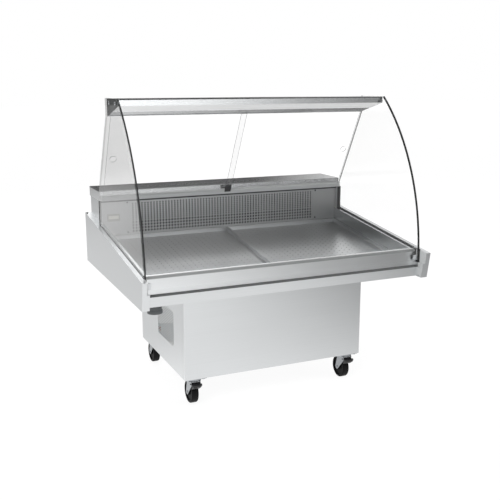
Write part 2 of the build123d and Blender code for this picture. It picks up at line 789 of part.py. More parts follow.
# Side panels: hollow boxes with a rabbet for the glass gasket and a notch for the front glass hinge
panel_screws = [(front_y + panel_screw_setback + panel_screw_slant, deck_z + panel_screw_rise),
                (front_y + panel_screw_setback, deck_z + panel_screw_rise + panel_screw_pitch)]
rabbet_outline = [(notch_rear, panel_top(notch_rear) - rabbet_depth),
                  (riser_front, panel_top(riser_front) - rabbet_depth),
                  (riser_front, panel_top(riser_front)), (notch_rear, panel_top(notch_rear))]
with BuildPart() as right_side_panel:
    prism([(front_y + panel_lean, deck_z), (panel_rear, deck_z), (panel_rear, panel_top(panel_rear)),
           (front_y, panel_top(front_y))], (panel_inner, half_width))
    prism(rabbet_outline, (panel_inner, rabbet_outer), mode=Mode.SUBTRACT)
    block((panel_inner, rabbet_outer), (front_y, notch_rear), (notch_floor, panel_top(notch_rear)),
          mode=Mode.SUBTRACT)
    offset(amount=-sheet, openings=right_side_panel.faces().filter_by(Axis.Z).sort_by(Axis.Z)[0])
    with BuildSketch(Plane.XY.offset(panel_top(panel_rear - corner_cutout) - sheet)):
        with BuildLine():
            Polyline((half_width - sheet, panel_rear - sheet),
                     (half_width - sheet, panel_rear - corner_cutout),
                     (half_width - panel_thickness / 2, panel_rear - sheet), close=True)
        make_face()
    extrude(amount=corner_cutout, mode=Mode.SUBTRACT)
    for place in panel_screws:
        rod((panel_inner, *place), (1, 0, 0), screw_radius + hole_play, sheet, mode=Mode.SUBTRACT)
write_piece(right_side_panel, "right_side_panel")

with BuildPart() as left_side_panel:
    mirror(right_side_panel.part, about=Plane.YZ)
write_piece(left_side_panel, "left_side_panel")

# Side glasses in the panels' gaskets: a curved front edge behind the front glass and a leaning rear edge
glass_x = (panel_inner + gasket_wall, panel_inner + gasket_wall + side_glass)
glass_edge = rabbet_depth - gasket_floor
glass_rear = riser_front - side_glass_end_gap
glass_foot = notch_rear + side_glass_ledge
block_front = notch_rear - hinge_block_length
block_top = panel_top(block_front)
ledge_z = block_top + side_glass_ledge
glass_top = canopy_top + side_glass_proud
edge_radius = arc_radius - front_glass - side_glass_gap


def edge_point(z):
    """A point on the side glass's curved front edge at a height."""
    return (arc_centre[0] - sqrt(edge_radius ** 2 - (z - arc_centre[1]) ** 2), z)


def rear_edge(y):
    """The height on the side glass's leaning rear edge at a depth."""
    start = on_door(0, side_glass_lap)
    return start[1] + (start[0] - y) / tan(door_lean)


bolt_z = canopy_top - glass_bolt_drop
glass_bolts = [(canopy_front + glass_bolt_front + step * glass_bolt_pitch, bolt_z) for step in (0, 1)]
with BuildPart() as right_side_glass:
    with BuildSketch(Plane.YZ.offset(glass_x[0])):
        with BuildLine():
            ThreePointArc(edge_point(ledge_z), edge_point((ledge_z + glass_top) / 2), edge_point(glass_top))
            Polyline(edge_point(glass_top), (canopy_rear, glass_top), (canopy_rear, rear_edge(canopy_rear)),
                     (glass_rear, rear_edge(glass_rear)), (glass_rear, panel_top(glass_rear) - glass_edge),
                     (glass_foot, panel_top(glass_foot) - glass_edge), (glass_foot, ledge_z),
                     edge_point(ledge_z))
        make_face()
        with Locations(*glass_bolts):
            Circle(glass_bolt_radius + hole_play, mode=Mode.SUBTRACT)
    extrude(amount=side_glass)
write_piece(right_side_glass, "right_side_glass")

with BuildPart() as left_side_glass:
    mirror(right_side_glass.part, about=Plane.YZ)
write_piece(left_side_glass, "left_side_glass")

# Rubber gaskets: a channel along each rabbet and an upright channel at the glass's rear edge
strip_front = glass_rear - gasket_grip
with BuildPart() as side_glass_gaskets:
    prism(rabbet_outline, (panel_inner, rabbet_outer))
    block((panel_inner, rabbet_outer), (strip_front, riser_front), (panel_top(strip_front), slab_bottom))
    prism([(notch_rear, panel_top(notch_rear) - glass_edge), (glass_rear, panel_top(glass_rear) - glass_edge),
           (glass_rear, slab_bottom), (notch_rear, slab_bottom)], glass_x, mode=Mode.SUBTRACT)
    mirror(about=Plane.YZ)
write_piece(side_glass_gaskets, "side_glass_gaskets")

# Hinge blocks in the panels' front notches, each with a pin for the front glass
plate_x = rabbet_outer - hinge_plate
with BuildPart() as front_glass_hinge_blocks:
    block((plate_x, rabbet_outer), (notch_rear - hinge_plate_length, notch_rear), (notch_floor, block_top))
    block((panel_inner, rabbet_outer), (block_front, notch_rear), (notch_floor, block_top))
    rod((plate_x, pivot_y, pivot_z), (-1, 0, 0), hinge_pin_radius, hinge_pin_length)
    mirror(about=Plane.YZ)
write_piece(front_glass_hinge_blocks, "front_glass_hinge_blocks")

# Front glass: a bent pane with its curve drawn as two arcs about one centre
arc_low = -front_glass_straight / arc_radius
arc_high = atan2(arc_rise, arc_radius - arc_reach)


def arc_point(radius, angle):
    """A point of the front glass's section, by the angle up from its foot."""
    return (arc_centre[0] - radius * cos(angle), arc_centre[1] + radius * sin(angle))


with BuildPart() as front_glass_pane:
    with BuildSketch(Plane.YZ.offset(-front_glass_half)):
        with BuildLine():
            for radius in (arc_radius, arc_radius - front_glass):
                ThreePointArc(arc_point(radius, arc_low), arc_point(radius, (arc_low + arc_high) / 2),
                              arc_point(radius, arc_high))
            for angle in (arc_low, arc_high):
                Line(arc_point(arc_radius, angle), arc_point(arc_radius - front_glass, angle))
        make_face()
    extrude(amount=2 * front_glass_half)
write_piece(front_glass_pane, "front_glass")

# Pivot shoes bonded inside the front glass, bored for the hinge pins
shoe_end = plate_x - pivot_end_play
shoe_start = shoe_end - pivot_shoe_length
pad_y = front_glass_y + front_glass + seat_gap
with BuildPart() as front_glass_pivots:
    rod((shoe_start, pivot_y, pivot_z), (1, 0, 0), pivot_boss_radius, pivot_shoe_length)
    block((shoe_start, front_glass_half), (pad_y, pad_y + pivot_pad),
          (front_glass_bottom, front_glass_bottom + pivot_pad_height))
    rod((shoe_end, pivot_y, pivot_z), (-1, 0, 0), hinge_pin_radius + running_fit,
        hinge_pin_length, mode=Mode.SUBTRACT)
    mirror(about=Plane.YZ)
write_piece(front_glass_pivots, "front_glass_pivots")

# Riser housing: rear wall, two ends, a floor over the foam and rails that carry the air panel
wall_y = panel_rear - sheet
air_panel_y = well_rear + sheet
control_z = slab_bottom - control_drop
control_x = panel_inner - control_inset
thermostat_x = control_x + thermostat_offset
switch_x = control_x + switch_offset
body_x = around(thermostat_x, thermostat_width / 2 - thermostat_body_inset)
body_z = around(control_z, thermostat_height / 2 - thermostat_body_inset)
body_hole_x = around(thermostat_x, thermostat_width / 2 - thermostat_body_inset + hole_play)
body_hole_z = around(control_z, thermostat_height / 2 - thermostat_body_inset + hole_play)
switch_half = switch_width / 2
switch_opening = switch_height / 2 + switch_end_play
cheek_half = switch_half + switch_side_play + switch_cheek
air_screws = [(side * (riser_half - air_screw_end), z) for side in (-1, 1)
              for z in (riser_floor + air_screw_low, slab_bottom - air_screw_high)]
with BuildPart() as riser_housing:
    block(around(0, panel_inner), (wall_y, panel_rear), (deck_z, slab_bottom))
    block(around(0, riser_half), (air_panel_y, wall_y), (riser_floor, riser_floor + sheet))
    block(around(0, riser_half), (air_panel_y, air_panel_y + sheet), (riser_floor, riser_floor + riser_rail))
    block(around(0, riser_half), (air_panel_y, air_panel_y + sheet), (slab_bottom - riser_rail, slab_bottom))
    for side in (-1, 1):
        block((side * riser_half, side * panel_inner), (riser_front, panel_rear), (riser_floor, slab_bottom))
    for x in (liquid_pipe_x, suction_pipe_x):
        rod((x, pipe_y, riser_floor), (0, 0, 1), pipe_radius + pipe_play, sheet, mode=Mode.SUBTRACT)
    for x, z in air_screws:
        rod((x, air_panel_y, z), (0, 1, 0), screw_radius + hole_play, sheet, mode=Mode.SUBTRACT)
    block(body_hole_x, (wall_y, panel_rear), body_hole_z, mode=Mode.SUBTRACT)
    block(around(switch_x, cheek_half + hole_play), (wall_y, panel_rear),
          around(control_z, switch_opening), mode=Mode.SUBTRACT)
write_piece(riser_housing, "riser_housing")

# Service top: a folded lid with rounded edges and a flange under its rim
slab_half = panel_inner + slab_overlap
with BuildPart() as service_top:
    block(around(0, slab_half), (riser_front, rear_y), (slab_bottom, service_z))
    top_edges = service_top.faces().sort_by(Axis.Z)[-1].edges()
    fillet(service_top.edges().filter_by(Axis.Z) + top_edges, slab_round)
    block(around(0, slab_half - sheet), (riser_front + sheet, rear_y - sheet),
          (slab_bottom + sheet, service_z - sheet), mode=Mode.SUBTRACT)
    block(around(0, slab_half - slab_flange), (riser_front + slab_flange, rear_y - slab_flange),
          (slab_bottom, slab_bottom + sheet), mode=Mode.SUBTRACT)
write_piece(service_top, "service_top")

# Air panel: the sheet between the well and the evaporator
with BuildPart() as air_panel:
    block(around(0, riser_half), (well_rear, air_panel_y), (riser_floor, slab_bottom))
    for x, z in air_screws:
        rod((x, well_rear, z), (0, 1, 0), screw_radius + hole_play, sheet, mode=Mode.SUBTRACT)
write_piece(air_panel, "air_panel")

# Evaporator coil: a finned block on the riser's floor
evaporator_fins = int(evaporator_half / fin_pitch) - 1
with BuildPart() as evaporator_coil:
    block(around(0, evaporator_half), (evaporator_front, evaporator_rear),
          (evaporator_floor, evaporator_floor + evaporator_height))
    with BuildSketch(Plane.XY.offset(evaporator_floor)):
        with Locations((0, evaporator_rear - fin_depth / 2)):
            with GridLocations(2 * fin_pitch, 0, evaporator_fins, 1):
                Rectangle(2 * fin_gap, fin_depth)
    extrude(amount=evaporator_height, mode=Mode.SUBTRACT)
write_piece(evaporator_coil, "evaporator_coil")

# Evaporator fans: two motors on brackets against the coil, each with its fan in front
evaporator_fan_z = evaporator_floor + evaporator_fan_rise
motor_front = evaporator_front - motor_bracket - evaporator_motor_length
evaporator_fan_y = motor_front - fan_motor_gap - evaporator_fan_width / 2
with BuildPart() as evaporator_fan_motors:
    for x in around(0, evaporator_fan_x):
        block(around(x, motor_bracket_width / 2), (evaporator_front - motor_bracket, evaporator_front),
              around(evaporator_fan_z, motor_bracket_height / 2))
        rod((x, evaporator_front - motor_bracket, evaporator_fan_z), (0, -1, 0),
            evaporator_motor_radius, evaporator_motor_length)
        rod((x, motor_front, evaporator_fan_z), (0, -1, 0), motor_shaft_radius,
            fan_motor_gap + evaporator_fan_width)
write_piece(evaporator_fan_motors, "evaporator_fan_motors")

for name, x in (("left", -evaporator_fan_x), ("right", evaporator_fan_x)):
    with BuildPart() as evaporator_fan:
        rotor(Plane(origin=(x, evaporator_fan_y, evaporator_fan_z), z_dir=(0, -1, 0)),
              evaporator_fan_radius, evaporator_hub_radius, evaporator_fan_width, fan_blades)
    write_piece(evaporator_fan, f"evaporator_fan_{name}")

# Control plate on the rear wall, with cheeks behind it that carry the rocker switch
plate_y = panel_rear + control_plate_sheet
switch_pivot_y = panel_rear - switch_pivot_depth
with BuildPart() as control_plate:
    block(around(control_x, control_width / 2), (panel_rear, plate_y),
          around(control_z, control_height / 2))
    block(body_hole_x, (panel_rear, plate_y), body_hole_z, mode=Mode.SUBTRACT)
    block(around(switch_x, switch_half + switch_side_play), (panel_rear, plate_y),
          around(control_z, switch_opening), mode=Mode.SUBTRACT)
    for side in (-1, 1):
        block((switch_x + side * (cheek_half - switch_cheek), switch_x + side * cheek_half),
              (panel_rear - switch_cheek_depth, panel_rear), around(control_z, switch_half))
    rod((switch_x - cheek_half, switch_pivot_y, control_z), (1, 0, 0), switch_pin_radius + running_fit,
        2 * cheek_half, mode=Mode.SUBTRACT)
write_piece(control_plate, "control_plate")

# Thermostat: a bezel on the plate and a body through it
with BuildPart() as thermostat:
    block(around(thermostat_x, thermostat_width / 2), (plate_y, plate_y + thermostat_bezel),
          around(control_z, thermostat_height / 2))
    fillet(thermostat.edges().filter_by(Axis.Y), thermostat_body_inset)
    block(body_x, (panel_rear - thermostat_body_depth, plate_y), body_z)
write_piece(thermostat, "thermostat")

# Rocker of the power switch: a shallow V, tilted to its off side, on two pins
rocker_rise = switch_height / 2 * tan(radians(switch_tilt))
rocker_half = switch_height / 2
rocker_points = [(0, 0), (rocker_rise, rocker_half), (-switch_depth, rocker_half - rocker_rise),
                 (-switch_depth, rocker_rise - rocker_half), (rocker_rise, -rocker_half)]
tilt = radians(switch_tilt)


def tilted(y, z):
    """A rocker point turned about the pins to the off side."""
    reach = y + switch_pivot_depth
    return (switch_pivot_y + reach * cos(tilt) - z * sin(tilt), control_z + reach * sin(tilt) + z * cos(tilt))


with BuildPart() as power_switch:
    prism([tilted(y, z) for y, z in rocker_points], around(switch_x, switch_half))
    rod((switch_x - cheek_half, switch_pivot_y, control_z), (1, 0, 0), switch_pin_radius, 2 * cheek_half)
write_piece(power_switch, "power_switch")

# Canopy housing: a folded top with a front face and a deeper rear face
canopy_low = canopy_top - canopy_rear_height
with BuildPart() as canopy_housing:
    folded([(canopy_front, canopy_underside(canopy_front)), (canopy_front, canopy_top),
            (canopy_rear, canopy_top), (canopy_rear, canopy_low)], around(0, canopy_half))
write_piece(canopy_housing, "canopy_housing")

# Canopy ends: plates that close the housing and bear on the side glasses
with BuildPart() as canopy_ends:
    prism([(canopy_front, canopy_underside(canopy_front)), (canopy_rear, canopy_low),
           (canopy_rear, canopy_top), (canopy_front, canopy_top)], (canopy_half, canopy_half + canopy_end))
    for place in glass_bolts:
        rod((canopy_half, *place), (1, 0, 0), glass_bolt_radius + hole_play, canopy_end, mode=Mode.SUBTRACT)
    mirror(about=Plane.YZ)
write_piece(canopy_ends, "canopy_ends")


def under_canopy(front, rear, thickness):
    """An outline along the canopy's underside, a thickness up from it."""
    return [(front, canopy_underside(front)), (rear, canopy_underside(rear)),
            (rear, canopy_underside(rear) + thickness), (front, canopy_underside(front) + thickness)]


# Diffuser under the lamp, and the lamp board on the canopy's top sheet
diffuser_front = canopy_front + sheet
diffuser_rear = diffuser_front + diffuser_depth
with BuildPart() as canopy_diffuser:
    prism(under_canopy(diffuser_front, diffuser_rear, diffuser), around(0, canopy_half))
write_piece(canopy_diffuser, "canopy_diffuser")

board_top = canopy_top - sheet
board_y = (diffuser_front + diffuser_rear) / 2
with BuildPart() as lamp_board:
    block(around(0, canopy_half - led_board_inset),
          around(board_y, led_board_depth / 2), (board_top - led_board, board_top))
write_piece(lamp_board, "led_board")

# Upper door track: an extrusion with two slanted grooves behind the diffuser
track_front = diffuser_rear + diffuser_track_gap
track_rear = canopy_rear - sheet
thick_front = track_rear - track_block_depth
track_top = canopy_low + track_block_height
grooves = [-door_spacing / 2, door_spacing / 2]
groove_half = door_glass / 2 + door_groove_play


def groove(middle, low, high):
    """The outline of one door groove between two heights up the doors' plane."""
    return [on_door(low, middle - groove_half), on_door(high, middle - groove_half),
            on_door(high, middle + groove_half), on_door(low, middle + groove_half)]


with BuildPart() as upper_door_track:
    prism(under_canopy(track_front, track_rear, track_web), around(0, canopy_half))
    prism([(thick_front, canopy_underside(thick_front)), (track_rear, canopy_underside(track_rear)),
           (track_rear, track_top), (thick_front, track_top)], around(0, canopy_half))
    for middle in grooves:
        prism(groove(middle, door_mouth - 2 * door_bite, door_top + door_lift_play), around(0, canopy_half),
              mode=Mode.SUBTRACT)
write_piece(upper_door_track, "upper_door_track")

# Lower door track on the front of the service top
with BuildPart() as lower_door_track:
    track_lip = on_door(door_bite, track_half)
    track_sole = on_door(-track_base, -track_half)
    prism([track_sole, on_door(door_bite, -track_half), track_lip, (riser_front, track_lip[1]),
           (riser_front, track_sole[1])], around(0, canopy_half))
    for middle in grooves:
        prism(groove(middle, 0, 2 * door_bite), around(0, canopy_half), mode=Mode.SUBTRACT)
write_piece(lower_door_track, "lower_door_track")

# Rear doors: two panes that slide past each other, each with a finger hole
door_outer = canopy_half - door_side_gap
door_plane = Plane(origin=(0, *door_foot), x_dir=(1, 0, 0), z_dir=(0, -cos(door_lean), -sin(door_lean)))
door_normal = Axis((0, 0, 0), (0, cos(door_lean), sin(door_lean)))
door_height = door_top - seat_gap
for name, side, middle in (("left", -1, -door_spacing / 2), ("right", 1, door_spacing / 2)):
    centre_x = side * (door_outer - door_overlap / 2) / 2
    with BuildPart() as rear_door:
        with BuildSketch(door_plane.offset(-middle - door_glass / 2)):
            with Locations((centre_x, seat_gap + door_height / 2)):
                Rectangle(door_outer + door_overlap / 2, door_height)
            with Locations((side * (door_outer - finger_inset), finger_height)):
                Circle(finger_radius, mode=Mode.SUBTRACT)
        extrude(amount=door_glass)
    write_piece(rear_door, f"{name}_rear_door")

# Door guide: a black tongue on the lower track where the panes overlap
with BuildPart() as door_guide:
    prism([on_door(guide_foot, -track_half), on_door(guide_top, -track_half),
           on_door(guide_top, -track_half - guide_thickness),
           on_door(guide_foot, -track_half - guide_thickness)],
          around(guide_offset, guide_width / 2))
    fillet(door_guide.edges().filter_by(door_normal), guide_round)
write_piece(door_guide, "door_guide")

# Castor plates with their swivel races
plate_bottom = castor_height - castor_plate
with BuildPart() as castor_plates:
    for x, y in castor_places.values():
        block(around(x, castor_plate_width / 2),
              around(y, castor_plate_depth / 2), (plate_bottom, castor_height))
        rod((x, y, plate_bottom), (0, 0, -1), race_radius, swivel_race)
        rod((x, y, castor_height), (0, 0, -1), kingpin_radius + running_fit, castor_plate + swivel_race,
            mode=Mode.SUBTRACT)
    with BuildSketch(Plane.XY.offset(plate_bottom)):
        with Locations(*bolt_places):
            Circle(bolt_radius + hole_play)
    extrude(amount=castor_plate, mode=Mode.SUBTRACT)
write_piece(castor_plates, "castor_plates")

# Castor forks, wheels and the front pair's brake pedals
leg_inner = wheel_width / 2 + fork_leg_gap
hub_half = leg_inner - hub_end_play
axle_half = leg_inner + fork_leg + fork_leg_gap
pedal_half = leg_inner - pedal_side_play
pedal_z = crown_top - fork_crown - pedal_pin_drop
for name, (x, y) in castor_places.items():
    axle_y = y + castor_trail
    pedal_y = y - pedal_pin_forward
    braked = y == castor_front
    with BuildPart() as castor_fork:
        with BuildSketch(Plane.YZ.offset(x + leg_inner)):
            with Locations((y, crown_top - (fork_skirt + fork_crown) / 2)):
                Rectangle(fork_leg_width, fork_skirt + fork_crown)
            with Locations((axle_y, wheel_radius)):
                Circle(axle_boss)
            make_hull()
        extrude(amount=fork_leg)
        mirror(about=Plane.YZ.offset(x))
        rod((x, y, crown_top - fork_crown), (0, 0, 1), fork_crown_radius, fork_crown)
        rod((x, y, crown_top), (0, 0, 1), kingpin_radius, castor_height - hub_end_play - crown_top)
        rod((x - axle_half, axle_y, wheel_radius), (1, 0, 0), axle_radius, 2 * axle_half)
        if braked:
            rod((x - axle_half, pedal_y, pedal_z), (1, 0, 0), pedal_pin_radius + running_fit, 2 * axle_half,
                mode=Mode.SUBTRACT)
    write_piece(castor_fork, f"castor_fork_{name}")

    with BuildPart() as castor_wheel:
        rod((x - wheel_width / 2, axle_y, wheel_radius), (1, 0, 0), wheel_radius, wheel_width)
        fillet(castor_wheel.edges().filter_by(GeomType.CIRCLE), tread_round)
        wheel_faces = (x + wheel_width / 2, x - wheel_width / 2 + wheel_recess)
        with BuildSketch(*(Plane.YZ.offset(face) for face in wheel_faces)):
            with Locations((axle_y, wheel_radius)):
                Circle(wheel_radius - 2 * tread_round)
                Circle(hub_radius, mode=Mode.SUBTRACT)
        extrude(amount=-wheel_recess, mode=Mode.SUBTRACT)
        rod((x - hub_half, axle_y, wheel_radius), (1, 0, 0), hub_radius, 2 * hub_half)
        rod((x - leg_inner, axle_y, wheel_radius), (1, 0, 0), axle_radius + running_fit, 2 * leg_inner,
            mode=Mode.SUBTRACT)
    write_piece(castor_wheel, f"castor_wheel_{name}")

    if braked:
        with BuildPart() as brake_pedal:
            shoulder = [(pedal_y - pedal_shoulder, pedal_z + pedal_lift),
                        (pedal_y - pedal_shoulder, pedal_z - pedal_heel)]
            prism([*shoulder, (pedal_y + pedal_heel, pedal_z - pedal_shoe),
                   (pedal_y + pedal_heel, pedal_z + pedal_rise)], around(x, pedal_half))
            prism([*shoulder, (pedal_y - pedal_reach, pedal_z - pedal_fall),
                   (pedal_y - pedal_reach, pedal_z - pedal_fall + pedal_toe)], around(x, pedal_toe_width / 2))
            fillet(brake_pedal.edges().filter_by(Axis.Z).group_by(Axis.Y)[0], pedal_round)
            rod((x - axle_half, pedal_y, pedal_z), (1, 0, 0), pedal_pin_radius, 2 * axle_half)
        write_piece(brake_pedal, "brake_pedal_" + name.removeprefix("front_"))


def screw(seat, axis):
    """A round-headed screw with its head against a seat, driven along an axis."""
    rod(seat, tuple(-part for part in axis), screw_head_radius, screw_head)
    rod(seat, axis, screw_radius, screw_length)


# Screws: castor bolts with nuts, bolts through the side glasses, air panel and side panel screws
bolt_grip = castor_plate + pan_floor
glass_bolt_grip = side_glass + canopy_end
with BuildPart() as screws:
    for x, y in bolt_places:
        hexagon((x, y, plate_bottom), (0, 0, -1), bolt_hex_radius, bolt_head)
        rod((x, y, plate_bottom), (0, 0, 1), bolt_radius, bolt_grip)
        hexagon((x, y, plate_bottom + bolt_grip), (0, 0, 1), bolt_hex_radius, bolt_head)
    for side in (-1, 1):
        for y, z in glass_bolts:
            rod((side * glass_x[1], y, z), (side, 0, 0), glass_bolt_head_radius, glass_bolt_head)
            rod((side * glass_x[1], y, z), (-side, 0, 0), glass_bolt_radius, glass_bolt_grip)
            hexagon((side * canopy_half, y, z), (-side, 0, 0), glass_bolt_head_radius, glass_bolt_nut)
        for y, z in panel_screws:
            screw((side * panel_inner, y, z), (side, 0, 0))
    for x, z in air_screws:
        screw((x, well_rear, z), (0, 1, 0))
write_piece(screws, "screws")
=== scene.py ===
from math import cos, pi, radians, sin

import bmesh
import bpy
from bpy.props import FloatProperty, FloatVectorProperty, IntProperty, PointerProperty
from bpy.types import Node, NodeSocket, Operator, Panel, PropertyGroup
from mathutils import Matrix, Vector


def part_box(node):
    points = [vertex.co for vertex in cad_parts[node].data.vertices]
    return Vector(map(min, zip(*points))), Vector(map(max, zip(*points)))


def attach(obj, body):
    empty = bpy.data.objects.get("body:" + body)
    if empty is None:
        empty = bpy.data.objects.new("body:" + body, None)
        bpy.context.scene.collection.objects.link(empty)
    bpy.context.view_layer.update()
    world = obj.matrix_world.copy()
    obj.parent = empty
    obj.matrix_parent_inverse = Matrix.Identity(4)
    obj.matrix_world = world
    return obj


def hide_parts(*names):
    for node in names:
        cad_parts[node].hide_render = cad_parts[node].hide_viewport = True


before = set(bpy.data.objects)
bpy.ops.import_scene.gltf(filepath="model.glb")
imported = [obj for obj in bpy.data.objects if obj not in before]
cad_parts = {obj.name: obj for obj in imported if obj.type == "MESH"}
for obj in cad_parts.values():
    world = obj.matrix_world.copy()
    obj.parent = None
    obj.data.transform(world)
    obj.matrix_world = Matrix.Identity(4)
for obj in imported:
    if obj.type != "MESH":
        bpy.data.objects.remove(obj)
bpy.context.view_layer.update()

bl_info = {
    "name": "Fish display case finishes",
    "version": (1, 0, 0),
    "blender": (4, 5, 0),
    "location": "View3D > Sidebar > Display case",
    "description": "Dresses the packed model of a refrigerated fish display case and sets its stage",
    "category": "Object",
}

MM = 0.001
SIDES = (-1, 1)

# The well's floor: its front edge, its height there and its rise for each unit of depth
WELL_FRONT, WELL_HEIGHT, WELL_SLOPE = -386 * MM, 538.49 * MM, 0.12757

# The front glass: its outer face's axis in Y and Z, radius and end angles, and its half width and wall
ARC_CENTRE = (481.741 * MM, 595 * MM)
ARC_RADIUS = 912.241 * MM
ARC_START, ARC_END = -0.0153, 0.8598
GLASS_HALF, GLASS_WALL = 624.7 * MM, 6 * MM

# The rear doors: the foot of their plane in Y and Z, in millimetres, and its lean from upright in radians
DOOR_FOOT, DOOR_LEAN = (268, 834), 0.4924

# Fasteners: where each one's head is seated
CASTOR_X, CASTOR_Y = 371, (-244, 303)
AIR_SCREWS = [(side * 494 * MM, 288 * MM, z * MM) for side in SIDES for z in (667.474, 807)]
GLASS_BOLTS = [(side * 629.5 * MM, y * MM, 1267 * MM) for side in SIDES for y in (-85, 15)]
PANEL_SCREWS = [(side * 620 * MM, y * MM, z * MM)
                for side in SIDES for y, z in ((-440.8, 513.3), (-443.7, 551.8))]
CASTOR_BOLTS = [(side * (CASTOR_X + i * 35) * MM, (y + j * 23) * MM, 125 * MM)
                for side in SIDES for y in CASTOR_Y for i in SIDES for j in SIDES]

# The camera, and each lamp's place, what it points at and its power
CAMERA_LENS, CAMERA_SENSOR = 55.34, 36.0
CAMERA_PLACE, CAMERA_TURN = (-1.405, -3.154, 1.3575), (radians(90 - 12.44), 0, radians(-24))
LAMP_WIDTH = 3.0
LAMPS = {"key_light": ((-3.4, -3.6, 4.4), (0, 0, 0.6), 260),
         "fill_light": ((4.2, -2.8, 3.0), (0, 0, 0.6), 80),
         "rear_light": ((0.5, 4.2, 3.6), (0, 0, 0.7), 120)}


def linear(code):
    """An sRGB hex value as linear red, green, blue and alpha."""
    parts = [int(code[i:i + 2], 16) / 255 for i in (1, 3, 5)]
    return [p / 12.92 if p <= 0.04045 else ((p + 0.055) / 1.055) ** 2.4 for p in parts] + [1.0]


def length(name, description, default):
    """A size in millimetres as a distance property."""
    return FloatProperty(name=name, description=description, default=default * MM, unit="LENGTH",
                         subtype="DISTANCE")


def colour(name, description, code):
    """An sRGB hex value as a colour property."""
    return FloatVectorProperty(name=name, description=description, default=linear(code), size=4,
                               subtype="COLOR", min=0, max=1)


class CaseSizes(PropertyGroup):
    """Sizes of the pieces that are made here"""
    hole_columns: IntProperty(name="Air hole columns", description="Holes along the air panel", default=65)
    hole_pitch: length("Air hole pitch", "Spacing of the holes along the air panel", 14.6)
    upper_rows: IntProperty(name="Upper rows", description="Rows of small holes in the air panel", default=9)
    upper_rise: length("Upper row rise", "Spacing of the small holes up the air panel", 9.4)
    upper_top: length("Upper row height", "Height of the top row of small holes", 800.5)
    upper_radius: length("Small hole radius", "Radius of a small hole in the air panel", 3.7)
    lower_rows: IntProperty(name="Lower rows", description="Rows of large holes in the air panel", default=4)
    lower_rise: length("Lower row rise", "Spacing of the large holes up the air panel", 13.9)
    lower_top: length("Lower row height", "Height of the top row of large holes", 712.6)
    lower_radius: length("Large hole radius", "Radius of a large hole in the air panel", 4.9)
    drip_radius: length("Drip hole radius", "Radius of a drain hole in a tray", 3.0)
    drip_pitch: length("Drip hole pitch", "Spacing of the drain holes in a tray", 27.0)
    tray_hem: length("Tray hem", "Width of the folded hem on a tray's lips", 5.0)
    seal_lap: length("Edge seal lap", "How far the edge seal laps onto the front glass", 3.4)
    seal_wall: length("Edge seal wall", "Thickness of the edge seal", 1.2)


class CaseColours(PropertyGroup):
    """Colours of the main finishes"""
    stainless: colour("Stainless", "Satin stainless sheet", "#d3d5d6")
    # The well's stainless is painted greyer than the sheet: painted shade for the darker look inside the well
    liner: colour("Liner", "Bright stainless of the display well", "#c6c8c9")
    rubber: colour("Rubber", "Extruded seals and gaskets", "#2b2b2c")
    glass: colour("Glass", "Clear toughened glass", "#ffffff")
    edge: colour("Glass edge", "Ground edges of the glass", "#5f6564")


def add(tree, kind, feeds=None, **settings):
    """Adds a node: its settings, then its inputs, each a value, a socket, a node's first output or a list."""
    made = tree.nodes.new(kind)
    for name, value in settings.items():
        setattr(made, name, value)
    for name, value in (feeds or {}).items():
        several = isinstance(value, list) and isinstance(value[0], (Node, NodeSocket))
        for source in value if several else [value]:
            if isinstance(source, Node):
                source = source.outputs[0]
            if isinstance(source, NodeSocket):
                tree.links.new(source, made.inputs[name])
            else:
                made.inputs[name].default_value = source
    return made


def surface(build):
    """Turns a function that builds a shader into one that makes a named material on Object coordinates."""
    def make(name, *details, **options):
        material = bpy.data.materials.new(name)
        material.use_nodes = True
        tree = material.node_tree
        tree.nodes.clear()
        place = add(tree, "ShaderNodeTexCoord").outputs["Object"]
        shader = build(tree, place, *details, **options)
        add(tree, "ShaderNodeOutputMaterial", {"Surface": shader})
        return material
    return make


def streaks(tree, place, spacing, detail=3.0):
    """Noise drawn out so that its marks are spaced as given along X, Y and Z, in millimetres."""
    scale = [1 / (step * MM) for step in spacing]
    mapped = add(tree, "ShaderNodeMapping", {"Vector": place, "Scale": scale})
    noise = {"Vector": mapped, "Scale": 1.0, "Detail": detail, "Roughness": 0.6}
    return add(tree, "ShaderNodeTexNoise", noise)


def finish(tree, pattern, dark, light, rough, bump, **fixed):
    """The shader of a finish: a pattern shades its colour, varies its gloss and lifts its skin.

    rough holds the roughness where the pattern is low and high, and bump is the lift in millimetres."""
    # Inputs 6 and 7 and output 2 are the mixer's colours
    tint = add(tree, "ShaderNodeMix", {"Factor": pattern, 6: dark, 7: light}, data_type="RGBA").outputs[2]
    gloss = add(tree, "ShaderNodeMix", {"Factor": pattern, "A": rough[0], "B": rough[1]})
    feeds = {"Base Color": tint, "Roughness": gloss}
    if bump:
        lift = {"Height": pattern, "Strength": 1.0, "Distance": bump * MM}
        feeds["Normal"] = add(tree, "ShaderNodeBump", lift)
    feeds.update({name.replace("_", " "): value for name, value in fixed.items()})
    return add(tree, "ShaderNodeBsdfPrincipled", feeds)


def eased(tree, *changes):
    """The product of smooth changes: a value, where its change starts and ends, and the levels there."""
    product = 1.0
    for value, start, end, first, last in changes:
        limits = {"Value": value, "From Min": start, "From Max": end, "To Min": first, "To Max": last}
        change = add(tree, "ShaderNodeMapRange", limits, interpolation_type="SMOOTHSTEP")
        product = add(tree, "ShaderNodeMath", {0: product, 1: change}, operation="MULTIPLY")
    return product


def toned(tone, share):
    """A colour made lighter or darker."""
    return [min(1.0, part * share) for part in tone[:3]] + [1.0]


